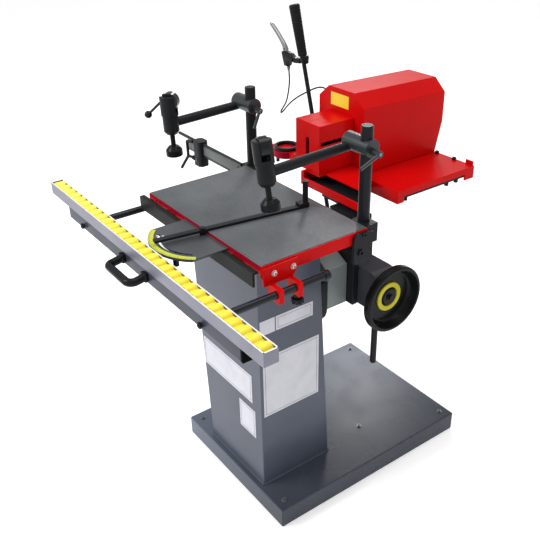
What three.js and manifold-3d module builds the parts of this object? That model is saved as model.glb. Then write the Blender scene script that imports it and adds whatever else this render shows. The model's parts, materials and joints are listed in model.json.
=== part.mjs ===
// Slot mortiser: welded base and column, fixed work table with a roller rail in front,
// and a motor head behind it that lifts, traverses and plunges. Millimetres, +Z up.
// Origin: middle of the base, on the floor. +X is the operator's right, +Y is away from them.
import * as THREE from 'three';
import { mergeVertices } from 'three/addons/utils/BufferGeometryUtils.js';
import Module from 'manifold-3d';

const wasm = await Module();
wasm.setup();

// Driving dimensions
const gap = 0.3;              // clearance between neighbouring pieces
const sheet = 3;              // guard and cover sheet
const plate = 4;              // folded tray plate
const round = 24;             // facets of a visible round
const fine = 40;              // facets of a large round

// Base
const baseW = 480, baseD = 660, baseH = 60, baseWall = 8, baseRib = 60;

// Column: vertical at the front and right, leaning out to the left and in at the back
const colWall = 6;
const colX0 = -132, colX1 = 133, colY0 = -313, colY1 = -84;
const colLeanX = 47, colLeanY = 43;

// Table
const tabCX = 8, tabCY = -234, tabW = 500, tabD = 300, tabTop = 834;
const tabT = 12, frameH = 31, rimT = 4, rimDrop = 1, frontEdgeH = 17;
const tabX0 = tabCX - tabW / 2, tabX1 = tabCX + tabW / 2;
const tabY0 = tabCY - tabD / 2, tabY1 = tabCY + tabD / 2;
const frameZ0 = tabTop - frameH;

// Front angle bar and protractor
const angX0 = -266, angX1 = 250, angOut = 19, angY0 = tabY0 - angOut, angT = 5, angDepth = 14, angZ0 = 786,
  angZ1 = 821;
const protX = 34, protY = -394, protR = 127, protHalf = 95, protT = 5;
const protZ0 = angZ1 + gap;
const scaleIn = 113, scaleT = 1.2, scaleA0 = 222, scaleA1 = 322;
const arcSlotR = 102, arcSlotW = 6, arcSlotA0 = 232, arcSlotA1 = 316;
const lockA = 292, lockStemR = 2.6, lockKnobR = 7, lockKnobH = 26;

// Angle fence
const fenceW = 15, fenceT = 6, fenceFront = 118, fenceBack = 280, fenceTilt = 8.7, fencePivotR = 7;
const fencePostR = 7, fencePostH = 62, fenceFootL = 26;

// Roller rail on two support bars
const railX0 = -481, railX1 = 508, railW = 34, railClear = 3, railZ0 = 798, railZ1 = 830, railT = 3;
const railY1 = protY - protR - railClear, railY0 = railY1 - railW;
const rollR = 13.5, rollL = 22, rollN = 30, axleR = 2.6, stripT = 2.2, stripH = 8;
const beamX0 = -379, beamX1 = 428, beamH = 34, plugT = 7;
const barCX = 4, barOut = 36, barX = tabW / 2 + barOut, barR = 9, barZ = 776, barBack = -228;
const collarR = 12.5, collarL = 14;
const handleX0 = -58, handleX1 = 54, handleReach = 46, handleR = 8, handleZ = 781, handleFoot = 11;
const beamBoltR = 6, beamBoltH = 8;

// Red side brackets that guide the support bars
const brY0 = -384, brY1 = -292, brT = 5, brH = 44, tabLugT = 12, tabLugY = [-366, -315], lugDown = 30;
const brBoltR = 6, brBoltH = 4;
const starR = 15, starH = 12, starStem = 20;

// Clamps
const postY = -64, postR = 14.4, postInR = 38, postInL = 3, postXR = tabX1 - postInR,
  postXL = tabX0 + postInL;
const postUpR = 232, postUpL = 218, postTopR = tabTop + postUpR, postTopL = tabTop + postUpL, headDown = 50;
const headR = 21, headOut = 20, headIn = 63, headZR = postTopR - headDown, headZL = postTopL - headDown;
const armDrop = 9, armR = 12;
const armOff = 49, barrelYR = -307, barrelYL = -282, barrelR = 20.5, barrelDown = 28, barrelLowH = 50,
  barrelUpH = 52;
const barrelUpR = 22.5, camDown = 15, camSlotW = 20, camR = 23, camOff = 5, camT = 18.8;
const tiltR = 2, tiltL = 2, twistR = -8, twistL = 0, plungerR = 6.5, padR = 22, padH = 26;
const padDownR = 92, padDownL = 97, padZR = headZR - padDownR, padZL = headZL - padDownL;
const camRodR = 3.4, camReach = 60, camDrop = 38, ballR = 10, leverTurnR = 160, leverTurnL = 220;
const ratHubR = 8, ratHubL = 26, ratR = 4.2, ratReachR = 60, ratReachL = 48;
const pbH = 48, pbZ1 = 834, pbSideT = 8, pbSideZ0 = 752, pbBackY = -75, pbOutL = 24;
const pbEdge = 8, pbHalf = 22, pbOutR = tabX1 - pbEdge, pbInR = postXR - pbHalf;

// Length stop on the left
const stopX0 = -612, stopX1 = postXL - pbOutL - gap, stopY = -84, stopZ = 829, stopRodR = 5;
const stopPlateT = 5, stopPlateH = 36, stopPlateX0 = -590;
const stopBlkX0 = -508, stopBlkX1 = -466, stopBlkH = 78, stopBlkD = 34;
const stopLevR = 4.5;

// Lift: ways behind the column and the knee that rides on them
const wpX0 = -110, wpX1 = 129, wpY1 = -92, wpZ0 = 500, wpZ1 = 634, wpCorner = 52;
const wbX0 = -100, wbX1 = 124, wbY1 = -24, wbZ0 = 545, wbZ1 = 680, wbRoof = 18, wbRoofX = 36;
const knX0 = -60, knX1 = 148, knPlateT = 18, knY1 = 110, knZ0 = 545, knShelfZ = 635, knZ1 = 690;
const gcX0 = 60, gcX1 = 214, gcY1 = 66, gcZ1 = 658, gcRound = 26;
const scrX = 197, scrY = 15, scrR = 8.5, scrZ0 = 371;
const whX = 257, whY = 12, whZ = 606, whR = 90, whRim = 10, whT = 23, whHubR = 22, whWeb = 6;
const whDish = 14, ringOut = 40, ringIn = 26, ringT = 4;
const xwX0 = 15, xwX1 = 124, xwY0 = 11, xwY1 = 49, xwH = 14;
const rrX0 = -165, rrX1 = -5, rrD = 40, rrZ0 = 540, rrH = 32, rrSlot = 22, rrFloor = 8;

// Cross slide and head
const csX0 = 17, csX1 = 122, csY0 = 4, csY1 = 56, shelfY = 40, shelfT = 9;
const ywX0 = -56, ywX1 = -8, ywY1 = 300, ywH = 15, ywFoot = 9;
const sdX0 = -68, sdX1 = 4, sdY0 = 92, sdY1 = 300, panT = 3;
const trX0 = -210, trX1 = 124, trY0 = 144, trY1 = 438, trTop = 815, trH = 35;
const plX0 = -120, plX1 = 128, plSideY = 40, plBackX = 14, plY0 = 14, plTop = 832, plH = 38, lipH = 22;
const slotFrom = 19, slotTo = 28, slotBack = 50;
const cutY0 = 168, cutY1 = 402, cutH = 17, rodUnderR = 6, rodUnderX = 112, rodPegs = [184, 342, 380];
const leverNotch = 14;
const gdX0 = -163, gdX1 = -61, gdY0 = 30, gdZ1 = 967, gdSlotW = 14, gdSlotZ0 = 856, gdSlotZ1 = 926;
const gdSideZ0 = 911, gdSideZ1 = 921, gdSideY0 = 36, gdSideY1 = 108;
const cvX0 = -208, cvX1 = -22, cvY0 = 148, cvY1 = 455, cvZ1 = 1033, cvChX = 40, cvChZ = 34, cvBack = 22,
  cvBackZ = 905;
const cvFall = 9;
const spX = -112, spZ = 902, chuckR = 25, chuckY0 = 76, chuckY1 = 150, noseR = 15, noseL = 20, shaftR = 10;
const motR = 62, motY0 = 175, motY1 = 420, motFootY0 = 205, motFootY1 = 360;
const iaX0 = -340, iaY = 90, iaW = 36, iaH = 20, irR = 30, irIn = 20, irH = 10, irX = -293, ipR = 5,
  ipX = -330, ipL = 36;

// Control lever
const lvY = 130, lvZ = 825, lvSlope = -0.283, lvX = -183.5, lvR = 6, lvEndZ = 556, lvTopZ = 1096;
const lvHubR = 15, lvHubL = 22;
const gripR0 = 12, gripR1 = 15, gripL = 134;
const bmR = 13, bmZ = 1083, bmOut = 92, bmW = 42, bmH = 28, bmD = 24, bmAdj = 12;
const bladeW = 10, bladeUp = 70, bladeOut = 60;
const cableR = 2.2, cabDrop = 145, cabLeft = 52, cabOut = 30, cabIn = 62, cabBack = 20;

// Shape helpers
const V = (x, y, z) => new THREE.Vector3(x, y, z);
const rad = (deg) => deg * Math.PI / 180;

function solid(geometry) {
  const g = geometry.clone();
  g.deleteAttribute('normal');
  if (g.getAttribute('uv')) g.deleteAttribute('uv');
  const m = mergeVertices(g, 1e-4);
  return new wasm.Manifold(new wasm.Mesh({
    numProp: 3,
    vertProperties: new Float32Array(m.getAttribute('position').array),
    triVerts: new Uint32Array(m.getIndex().array),
  }));
}
function geometryOf(m) {
  const mesh = m.getMesh();
  const g = new THREE.BufferGeometry();
  g.setAttribute('position', new THREE.Float32BufferAttribute(mesh.vertProperties, 3));
  g.setIndex(new THREE.BufferAttribute(new Uint32Array(mesh.triVerts), 1));
  return g;
}
const add = (...parts) => parts.reduce((a, b) => a.add(b));
const cut = (a, ...parts) => parts.reduce((s, b) => s.subtract(b), a);

function box(x0, x1, y0, y1, z0, z1) {
  const g = new THREE.BoxGeometry(x1 - x0, y1 - y0, z1 - z0);
  g.translate((x0 + x1) / 2, (y0 + y1) / 2, (z0 + z1) / 2);
  return solid(g);
}
// A round bar between two points; r2 gives a taper, start turns the facets.
function bar(p, q, r, n = round, r2 = r) {
  const d = q.clone().sub(p);
  const g = new THREE.CylinderGeometry(r2, r, d.length(), n, 1);
  g.applyQuaternion(new THREE.Quaternion().setFromUnitVectors(V(0, 1, 0), d.normalize()));
  g.translate((p.x + q.x) / 2, (p.y + q.y) / 2, (p.z + q.z) / 2);
  return solid(g);
}
const barX_ = (x0, x1, y, z, r, n) => bar(V(x0, y, z), V(x1, y, z), r, n);
const barY_ = (x, y0, y1, z, r, n) => bar(V(x, y0, z), V(x, y1, z), r, n);
const barZ_ = (x, y, z0, z1, r, n, r2) => bar(V(x, y, z0), V(x, y, z1), r, n, r2);
function ball(c, r, n = 16) {
  const g = new THREE.SphereGeometry(r, n, n / 2);
  g.translate(c.x, c.y, c.z);
  return solid(g);
}
// Prisms: 'x' takes (y, z) points, 'y' takes (x, z) points, 'z' takes (x, y) points.
function prism(axis, points, from, to) {
  const s = new THREE.Shape(points.map(([a, b]) => new THREE.Vector2(a, b)));
  const g = new THREE.ExtrudeGeometry(s, { depth: to - from, bevelEnabled: false });
  if (axis === 'z') g.translate(0, 0, from);
  if (axis === 'y') { g.rotateX(Math.PI / 2); g.translate(0, to, 0); }
  if (axis === 'x') {
    g.applyMatrix4(new THREE.Matrix4().set(0, 0, 1, 0, 1, 0, 0, 0, 0, 1, 0, 0, 0, 0, 0, 1));
    g.translate(from, 0, 0);
  }
  return solid(g);
}
function arc(cx, cy, r, a0, a1, n) {
  return Array.from({ length: n + 1 }, (_, i) => {
    const a = rad(a0 + (a1 - a0) * i / n);
    return [cx + r * Math.cos(a), cy + r * Math.sin(a)];
  });
}
const rounded = (x0, x1, y0, y1, r, n = 5) => [
  ...arc(x1 - r, y0 + r, r, -90, 0, n), ...arc(x1 - r, y1 - r, r, 0, 90, n),
  ...arc(x0 + r, y1 - r, r, 90, 180, n), ...arc(x0 + r, y0 + r, r, 180, 270, n)];
// A disc turned about an axis along X through (y, z), from (x, radius) pairs.
function turned(profile, y, z, n = fine) {
  const g = new THREE.LatheGeometry(profile.map(([x, r]) => new THREE.Vector2(r, x)), n);
  g.rotateZ(-Math.PI / 2);
  g.translate(0, y, z);
  return solid(g);
}
function hexa(lo, hi) {
  const p = [...lo, ...hi];
  const faces = [[0, 3, 2, 1], [4, 5, 6, 7], [0, 1, 5, 4], [1, 2, 6, 5], [2, 3, 7, 6], [3, 0, 4, 7]];
  const g = new THREE.BufferGeometry();
  g.setAttribute('position', new THREE.Float32BufferAttribute(p.flat(), 3));
  g.setIndex(faces.flatMap(([a, b, c, d]) => [a, b, c, a, c, d]));
  return solid(g);
}
// A closed tube along a curve through the points.
function tube(points, r, n = 10, steps = 40, tension = 0.5) {
  const curve = new THREE.CatmullRomCurve3(points.map((p) => V(...p)), false, 'catmullrom', tension);
  const frames = curve.computeFrenetFrames(steps, false);
  const pos = [], idx = [];
  for (let i = 0; i <= steps; i++) {
    const c = curve.getPointAt(i / steps);
    for (let k = 0; k < n; k++) {
      const a = k / n * 2 * Math.PI;
      const d = frames.normals[i].clone().multiplyScalar(Math.cos(a))
        .add(frames.binormals[i].clone().multiplyScalar(Math.sin(a)));
      pos.push(c.x + r * d.x, c.y + r * d.y, c.z + r * d.z);
    }
  }
  for (let i = 0; i < steps; i++) for (let k = 0; k < n; k++) {
    const a = i * n + k, b = i * n + (k + 1) % n;
    idx.push(a, b, b + n, a, b + n, a + n);
  }
  for (let k = 1; k < n - 1; k++) {
    idx.push(0, k + 1, k);
    idx.push(steps * n, steps * n + k, steps * n + k + 1);
  }
  const g = new THREE.BufferGeometry();
  g.setAttribute('position', new THREE.Float32BufferAttribute(pos, 3));
  g.setIndex(idx);
  const s = solid(g);
  return s.volume() < 0 ? solid(flip(g)) : s;
}
function flip(g) {
  const i = g.getIndex().array;
  const out = [];
  for (let k = 0; k < i.length; k += 3) out.push(i[k], i[k + 2], i[k + 1]);
  g.setIndex(out);
  return g;
}
// Straight bars end to end with balls at the bends.
function bent(points, r, n = 12) {
  const p = points.map((q) => V(...q));
  const parts = [];
  for (let i = 0; i < p.length - 1; i++) {
    parts.push(bar(p[i], p[i + 1], r, n));
    if (i) parts.push(ball(p[i], r, n));
  }
  return add(...parts);
}

const group = new THREE.Group();
group.name = 'slot_mortiser';
function put(name, shape, color, metalness = 0.2, roughness = 0.5) {
  const mesh = new THREE.Mesh(geometryOf(shape), new THREE.MeshStandardMaterial({ color, metalness,
    roughness }));
  mesh.name = name;
  mesh.material.name = name + '_finish';
  group.add(mesh);
}
const GREY = 0x5a616d, RED = 0xc41414, BLACK = 0x17181b, STEEL = 0x8b8c90, YELLOW = 0xf2dc1e,
  RAIL = 0x9a9aac;

// Base: a tray turned upside down with a cross of feet in the middle
const halfW = baseW / 2, halfD = baseD / 2, rib = baseRib / 2;
const pocket = (sx, sy) => {
  const xs = [sx * rib, sx * (halfW - baseWall)].sort((a, b) => a - b);
  const ys = [sy * rib, sy * (halfD - baseWall)].sort((a, b) => a - b);
  return box(xs[0], xs[1], ys[0], ys[1], -baseWall, baseH - baseWall);
};
put('base_tray', cut(box(-halfW, halfW, -halfD, halfD, 0, baseH),
  pocket(1, 1), pocket(1, -1), pocket(-1, 1), pocket(-1, -1)), GREY);

// Column
const colZ0 = baseH + gap, colZ1 = frameZ0 - gap, colH = colZ1 - colZ0;
const colRect = (inset, z) => {
  const t = (z - colZ0) / colH;
  return [[colX0 - colLeanX * t + inset, colY0 + inset, z], [colX1 - inset, colY0 + inset, z],
    [colX1 - inset, colY1 - colLeanY * t - inset, z], [colX0 - colLeanX * t + inset,
      colY1 - colLeanY * t - inset, z]];
};
const colBack = (z) => colY1 - colLeanY * (z - colZ0) / colH;
put('column', cut(hexa(colRect(0, colZ0), colRect(0, colZ1)),
  hexa(colRect(colWall, colZ0 - colWall), colRect(colWall, colZ1 - colWall))), GREY);

// Rear ways: a black backing plate and the block that carries the knee
const wpShape = prism('x', [[colBack(wpZ0) + gap, wpZ0], [wpY1, wpZ0], [wpY1, wpZ1],
  [colBack(wpZ1) + gap, wpZ1]], wpX0, wpX1);
const wpFace = prism('y', [...arc(wpX1 - wpCorner, wpZ0 + wpCorner, wpCorner, -90, 0, 8),
  [wpX1, wpZ1], [wpX0, wpZ1], ...arc(wpX0 + wpCorner, wpZ0 + wpCorner, wpCorner, 180, 270, 8)], colBack(wpZ1), wpY1 + gap);
put('way_plate', wpShape.intersect(wpFace), BLACK);
put('way_block', prism('y', [[wbX0, wbZ0], [wbX1, wbZ0], [wbX1, wbZ1 - wbRoof], [wbX1 - wbRoofX, wbZ1],
  [wbX0, wbZ1]], wpY1 + gap, wbY1), GREY);

// Table: red frame with a raised rim on three sides, grey plate set in it
const rimZ = tabTop - rimDrop, plateZ0 = tabTop - tabT;
put('table_frame', cut(box(tabX0, tabX1, tabY0, tabY1, frameZ0, rimZ),
  box(tabX0 + rimT, tabX1 - rimT, tabY0 + rimT, tabY1 + gap, plateZ0 - gap, tabTop),
  box(tabX0 - gap, tabX1 - rimT * 2, tabY0 - gap, tabY0 + rimT * 2, frameZ0 - gap, tabTop - frontEdgeH)),
    RED);
put('table_top', box(tabX0 + rimT + gap, tabX1 - rimT - gap, tabY0 + rimT + gap, tabY1, plateZ0, tabTop),
  STEEL, 0.7, 0.45);

// Front angle bar on two stubs
put('front_rail', add(box(angX0, angX1, angY0, angY0 + angT, angZ0, angZ1),
  box(angX0, angX1, angY0, angY0 + angDepth, angZ1 - angT, angZ1),
  ...[-0.6, 0.6].map((s) => box(tabCX + s * tabW / 2 - angDepth, tabCX + s * tabW / 2 + angDepth,
    angY0 + angT, tabY0 + rimT * 2 - gap, frameZ0, frameZ0 + frameH - frontEdgeH - gap))), 0x25291f);

// Protractor plate with its arc slot and the raised scale band
const protZ1 = protZ0 + protT;
const protEdge = Math.sqrt(protR * protR - protHalf * protHalf);
const protA = Math.acos(protHalf / protR) * 180 / Math.PI;
const protShape = [[protX + protHalf, tabY0 - gap], [protX - protHalf, tabY0 - gap],
  ...arc(protX, protY, protR, 180 + protA, 360 - protA, 20)];
const ringShape = (r0, r1, a0, a1, n) => [...arc(protX, protY, r1, a0, a1, n),
  ...arc(protX, protY, r0, a1, a0, n)];
put('protractor_plate', add(cut(prism('z', protShape, protZ0, protZ1),
  prism('z', ringShape(arcSlotR - arcSlotW / 2, arcSlotR + arcSlotW / 2, arcSlotA0, arcSlotA1, 14),
    protZ0 - gap, protZ1 + gap)),
  prism('z', ringShape(scaleIn, protR - gap, scaleA0, scaleA1, 22), protZ1 - scaleT, protZ1 + scaleT)),
    0x45484c, 0.6, 0.45);

// Lock under the arc slot
const lockX = protX + arcSlotR * Math.cos(rad(lockA)), lockY = protY + arcSlotR * Math.sin(rad(lockA));
put('fence_lock', add(barZ_(lockX, lockY, protZ0 - lockKnobH, protZ1 + gap, lockStemR, 12),
  barZ_(lockX, lockY, protZ0 - lockKnobH - gap * 10, protZ0 - gap * 10, lockKnobR, 12)), BLACK);

// Angle fence: flat bar, pivot boss and the upright at its far end
const fdx = Math.sin(rad(fenceTilt)), fdy = Math.cos(rad(fenceTilt));
const along = (t, side) => [protX + fdx * t + fdy * side, protY + fdy * t - fdx * side];
const fenceZ0 = tabTop + gap, fenceZ1 = fenceZ0 + fenceT;
const fenceTop = along(fenceBack - fencePostR, 0);
put('fence_bar', add(
  prism('z', [along(-fenceFront, -fenceW / 2), along(-fenceFront, fenceW / 2), along(fenceBack, fenceW / 2),
    along(fenceBack, -fenceW / 2)], fenceZ0, fenceZ1),
  barZ_(protX, protY, protZ1 + gap, fenceZ1 + fencePivotR / 2, fencePivotR, 16),
  prism('z', [along(fenceBack - fenceFootL, -fenceW), along(fenceBack - fenceFootL, fenceW / 2),
    along(fenceBack, fenceW / 2),
    along(fenceBack, -fenceW)], fenceZ0, fenceZ1 + fenceT),
  barZ_(fenceTop[0], fenceTop[1], fenceZ0, fenceZ1 + fencePostH, fencePostR, 16)), BLACK);

// Red brackets on both sides of the table
function bracket(side) {
  const face = side > 0 ? tabX1 : tabX0;
  const xs = (a, b) => [face + side * a, face + side * b].sort((m, n) => m - n);
  const [p0, p1] = xs(gap, gap + brT);
  const cx = barCX + side * barX;
  const z1 = tabTop - rimDrop * 4;
  const flange = prism('x', [[brY0, z1 - brH], [brY1 - brH / 3, z1 - brH], [brY1, z1 - brH / 2],
    [brY1, z1], [brY0, z1]], p0, p1);
  const lugs = tabLugY.map((y) => {
    const [a, b] = [face + side * (gap + brT / 2), cx + side * (barR + rimT)].sort((m, n) => m - n);
    return box(a, b, y - tabLugT / 2, y + tabLugT / 2, barZ - lugDown / 2 - rimT, barZ + lugDown / 2);
  });
  const bolts = tabLugY.map((y) => barX_(...xs(gap + brT / 2, gap + brT + brBoltH), y + tabLugT * 0.8,
    z1 - brH * 0.4, brBoltR, 6));
  return cut(add(flange, ...lugs, ...bolts), barY_(cx, brY0 - brH, brY1 + brH, barZ, barR + gap, round));
}
put('bracket_right', bracket(1), RED);
put('bracket_left', bracket(-1), RED);

// Star knobs that lock the bars, screwed in from below at the rear lug
function star(side) {
  const cx = barCX + side * barX, y = tabLugY[1];
  const z1 = barZ - lugDown / 2 - rimT - gap;
  const pts = [];
  for (let i = 0; i < 32; i++) {
    const a = i / 32 * 2 * Math.PI, r = starR * (0.86 + 0.14 * Math.cos(8 * a));
    pts.push([cx + r * Math.cos(a), y + r * Math.sin(a)]);
  }
  return add(prism('z', pts, z1 - starStem, z1 - starStem + starH),
    barZ_(cx, y, z1 - starStem, z1, starR / 2, 12));
}
put('star_knob_right', star(1), BLACK);
put('star_knob_left', star(-1), BLACK);

// Support bars with rear collars
const beamY0 = railY0 + railT, beamY1 = railY1 - railT, beamZ1 = railZ0 - gap, beamZ0 = beamZ1 - beamH;
const support = (side) => add(
  barY_(barCX + side * barX, beamY1 + gap, barBack, barZ, barR),
  barY_(barCX + side * barX, barBack - collarL, barBack, barZ, collarR));
put('support_bar_right', support(1), BLACK, 0.5, 0.4);
put('support_bar_left', support(-1), BLACK, 0.5, 0.4);

// Beam, end plug, channel, rollers and pull handle
const boltsOn = [-1, 1].map((s) => barY_(barCX + s * barX, beamY0 - beamBoltH, beamY0 + railT, barZ,
  beamBoltR, 12));
put('rail_beam', add(cut(box(beamX0, beamX1, beamY0, beamY1, beamZ0, beamZ1),
  box(beamX0 - gap, beamX1 + gap, beamY0 + railT, beamY1 - railT, beamZ0 + railT, beamZ1 - railT)),
    ...boltsOn), 0x6f7381);
put('beam_plug', add(box(beamX1 + gap, beamX1 + gap + plugT, beamY0, beamY1, beamZ0, beamZ1),
  box(beamX1 - plugT * 2, beamX1 + gap, beamY0 + railT + gap, beamY1 - railT - gap, beamZ0 + railT + gap,
    beamZ1 - railT - gap)), BLACK);
put('rail_channel', cut(box(railX0, railX1, railY0, railY1, railZ0, railZ1),
  box(railX0 + railT, railX1 - railT, railY0 + railT, railY1 - railT, railZ0 + railT, railZ1 + railT)),
    RAIL, 0.5, 0.4);
const railCY = (railY0 + railY1) / 2, pitch = (railX1 - railX0 - railT * 4) / rollN;
const rollZ = railZ1 + railT - rollR, rollX = (i) => railX0 + railT * 2 + pitch * (i + 0.5);
const inY0 = railY0 + railT + gap, inY1 = railY1 - railT - gap;
const rollers = [box(rollX(0) - pitch / 3, rollX(rollN - 1) + pitch / 3, inY0, inY0 + stripT,
  rollZ - stripH / 2, rollZ + stripH / 2)];
for (let i = 0; i < rollN; i++) {
  rollers.push(barY_(rollX(i), railCY - rollL / 2, railCY + rollL / 2, rollZ, rollR, 20));
  rollers.push(barY_(rollX(i), inY0 + stripT / 2, inY1, rollZ, axleR, 8));
}
put('roller_strip', add(...rollers), YELLOW, 0, 0.45);
const hy0 = beamY0 - gap, hr = handleR;
put('rail_handle', add(
  box(handleX0 - handleFoot, handleX0 + handleFoot, hy0 - hr, hy0, handleZ - handleFoot,
    handleZ + handleFoot),
  box(handleX1 - handleFoot, handleX1 + handleFoot, hy0 - hr, hy0, handleZ - handleFoot,
    handleZ + handleFoot),
  bent([[handleX0, hy0 - hr / 2, handleZ], [handleX0, hy0 - handleReach + hr, handleZ - hr / 2],
    [handleX0 + hr, hy0 - handleReach, handleZ - hr / 2],
      [handleX1 - hr, hy0 - handleReach, handleZ - hr / 2],
    [handleX1, hy0 - handleReach + hr, handleZ - hr / 2], [handleX1, hy0 - hr / 2, handleZ]], hr, 12)),
      BLACK);

// Post brackets at the rear corners of the table
function postBracket(side) {
  const px = side > 0 ? postXR : postXL;
  const inX = side > 0 ? pbInR : px + (postXR - pbInR), outX = side > 0 ? pbOutR : px - pbOutL;
  const [a, b] = [inX, outX].sort((m, n) => m - n);
  const face = side > 0 ? tabX1 : tabX0;
  const [c, d] = [face + side * gap, face + side * (gap + pbSideT)].sort((m, n) => m - n);
  const y1 = postY + postR + rimT;
  const cheek = prism('x', rounded(tabY1 - pbH, pbBackY, pbSideZ0, pbZ1 - rimT, pbH / 4), c, d);
  const join = box(Math.min(c, b - gap), Math.max(b, d), tabY1 + gap, pbBackY, pbZ1 - pbH, pbZ1 - rimT * 2);
  const block = box(a, b, tabY1 + gap, y1, pbZ1 - pbH, pbZ1);
  return cut(add(block, cheek, join), barZ_(px, postY, pbZ1 - pbH + rimT, pbZ1 + rimT, postR + gap, fine));
}
put('post_bracket_right', postBracket(1), BLACK);
put('post_bracket_left', postBracket(-1), BLACK);

// Clamps: post, cross head, arm with its barrel, plunger, cam lever and ratchet handle
// Turns a clamp's arm assembly about the arm's own axis, then about the cross head's axis
const pivoted = (m, p, angles) => m.translate([-p[0], -p[1], -p[2]]).rotate(angles).translate(p);
function clamp(tag, px, top, headZ, barrelY, padZ, leverTurn, ratchetDir, tilt, roll) {
  const ax = px - armOff, armZ = headZ - armDrop;
  const leaned = (m) => pivoted(pivoted(m, [ax, barrelY, armZ], [0, roll, 0]), [px, postY, headZ],
    [tilt, 0, 0]);
  put('clamp_post_' + tag, barZ_(px, postY, pbZ1 - pbH + rimT + gap, top, postR, fine), BLACK, 0.5, 0.35);
  put('cross_head_' + tag, cut(barX_(px - headIn, px + headOut, postY, headZ, headR, fine),
    barZ_(px, postY, headZ - headR * 2, headZ + headR * 2, postR + gap, fine)), 0x24262b, 0.5, 0.35);
  const z0 = armZ - barrelDown, z1 = z0 + barrelLowH, z2 = z1 + barrelUpH, camZ = z2 - camDown;
  const dir = V(Math.cos(rad(leverTurn)), Math.sin(rad(leverTurn)), 0), across = V(-dir.y, dir.x, 0);
  const at = (t, dz, w = 0) => V(ax + dir.x * t + across.x * w, barrelY + dir.y * t + across.y * w,
    camZ + dz);
  const shell = add(barZ_(ax, barrelY, z0, z0 + rimT * 2, barrelR * 0.72, fine, barrelR),
    barZ_(ax, barrelY, z0 + rimT * 2, z1 + gap, barrelR, fine),
      barZ_(ax, barrelY, z1, z2 - rimT / 2, barrelUpR, fine),
    barZ_(ax, barrelY, z2 - rimT / 2, z2, barrelUpR, fine, barrelUpR - rimT / 2),
    barY_(ax, barrelY, postY, armZ, armR, round));
  // the slot the cam turns in, open above and on both sides
  const half = camSlotW / 2, reach = barrelUpR + gap;
  const slot = prism('z', [[-reach, -half], [reach, -half], [reach, half], [-reach, half]]
    .map(([t, w]) => [at(t, 0, w).x, at(t, 0, w).y]), camZ - camR - camOff - gap * 3, z2 + gap);
  const arm = leaned(cut(shell, barZ_(ax, barrelY, z0 - rimT, camZ, plungerR + gap, round), slot));
  put('clamp_arm_' + tag, cut(arm, barX_(px - headIn * 2, px + headOut, postY, headZ, headR + gap, fine),
    box(px - headIn * 2, px + headOut, postY, postY + headIn, headZ - headIn, headZ + headIn)), BLACK, 0.4,
      0.4);
  put('plunger_' + tag, leaned(add(barZ_(ax, barrelY, padZ + padH / 2, camZ - camR - gap * 3, plungerR,
    round),
    barZ_(ax, barrelY, padZ, padZ + padH * 0.62, padR, fine),
    barZ_(ax, barrelY, padZ + padH * 0.62, padZ + padH, padR, fine, padR * 0.6))), BLACK);
  put('cam_lever_' + tag, leaned(add(bar(at(-camOff, 0, -camT / 2), at(-camOff, 0, camT / 2), camR, fine),
    bar(at(camR * 0.4, camR * 0.3), at(camReach, -camDrop), camRodR, 12),
    ball(at(camReach, -camDrop), ballR, 16))), BLACK);
  const rx = px + headOut + gap, rz = headZ - headR * 0.3,
    ratReach = tag === 'right' ? ratReachR : ratReachL;
  const [dy, dz] = ratchetDir;
  put('ratchet_' + tag, add(barX_(rx, rx + ratHubL, postY, rz, ratHubR, 12),
    bent([[rx + ratHubL - ratR, postY, rz],
      [rx + ratHubL - ratR, postY + dy * ratReach, rz + dz * ratReach]], ratR, 10)), 0x3a3c40, 0.8, 0.3);
}
clamp('right', postXR, postTopR, headZR, barrelYR, padZR, leverTurnR, [-0.93, -0.37], tiltR, twistR);
clamp('left', postXL, postTopL, headZL, barrelYL, padZL, leverTurnL, [-0.4, -0.92], tiltL, twistL);

// Length stop: rod and plate from the left post bracket, with a sliding block and its lever
put('stop_rod', add(barX_(stopX0, stopX1, stopY, stopZ, stopRodR, 16),
  box(stopPlateX0, stopX1, stopY - stopPlateT / 2, stopY + stopPlateT / 2,
    stopZ - stopPlateH - stopRodR / 2, stopZ)), 0x6d7073, 0.5, 0.4);
const blkZ1 = stopZ + stopRodR * 2, blkZ0 = blkZ1 - stopBlkH;
put('stop_block', cut(prism('z', rounded(stopBlkX0, stopBlkX1, stopY - stopBlkD / 2, stopY + stopBlkD / 2,
  stopBlkD / 3),
  blkZ0, blkZ1), barX_(stopBlkX0 - gap, stopBlkX1 + gap, stopY, stopZ, stopRodR + gap, 16),
  box(stopBlkX0 - gap, stopBlkX1 + gap, stopY - stopPlateT / 2 - gap, stopY + stopPlateT / 2 + gap,
    stopZ - stopPlateH - stopRodR / 2 - gap, stopZ)), BLACK);
const slx = stopBlkX0 - gap, slz = (blkZ0 + blkZ1) / 2, sly = stopY - stopPlateT / 2 - gap - stopLevR * 1.6;
put('stop_lever', add(barX_(slx - stopLevR * 2, slx, sly, slz - stopBlkH * 0.28, stopLevR * 1.6, 12),
  bent([[slx - stopLevR, sly, slz - stopBlkH * 0.28], [slx - stopBlkD, sly - rimT, slz - stopBlkH * 0.3],
    [slx - stopBlkD * 1.05, sly - rimT, slz + stopBlkH * 0.3],
      [slx - stopLevR * 2, sly, slz + stopBlkH * 0.36]], stopLevR, 10),
  bent([[slx - stopBlkD, sly - rimT, slz - stopBlkH * 0.3],
    [slx - stopBlkD * 1.7, sly - stopBlkD / 2, slz - stopBlkH * 0.85]],
    stopLevR, 10)), BLACK);

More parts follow.
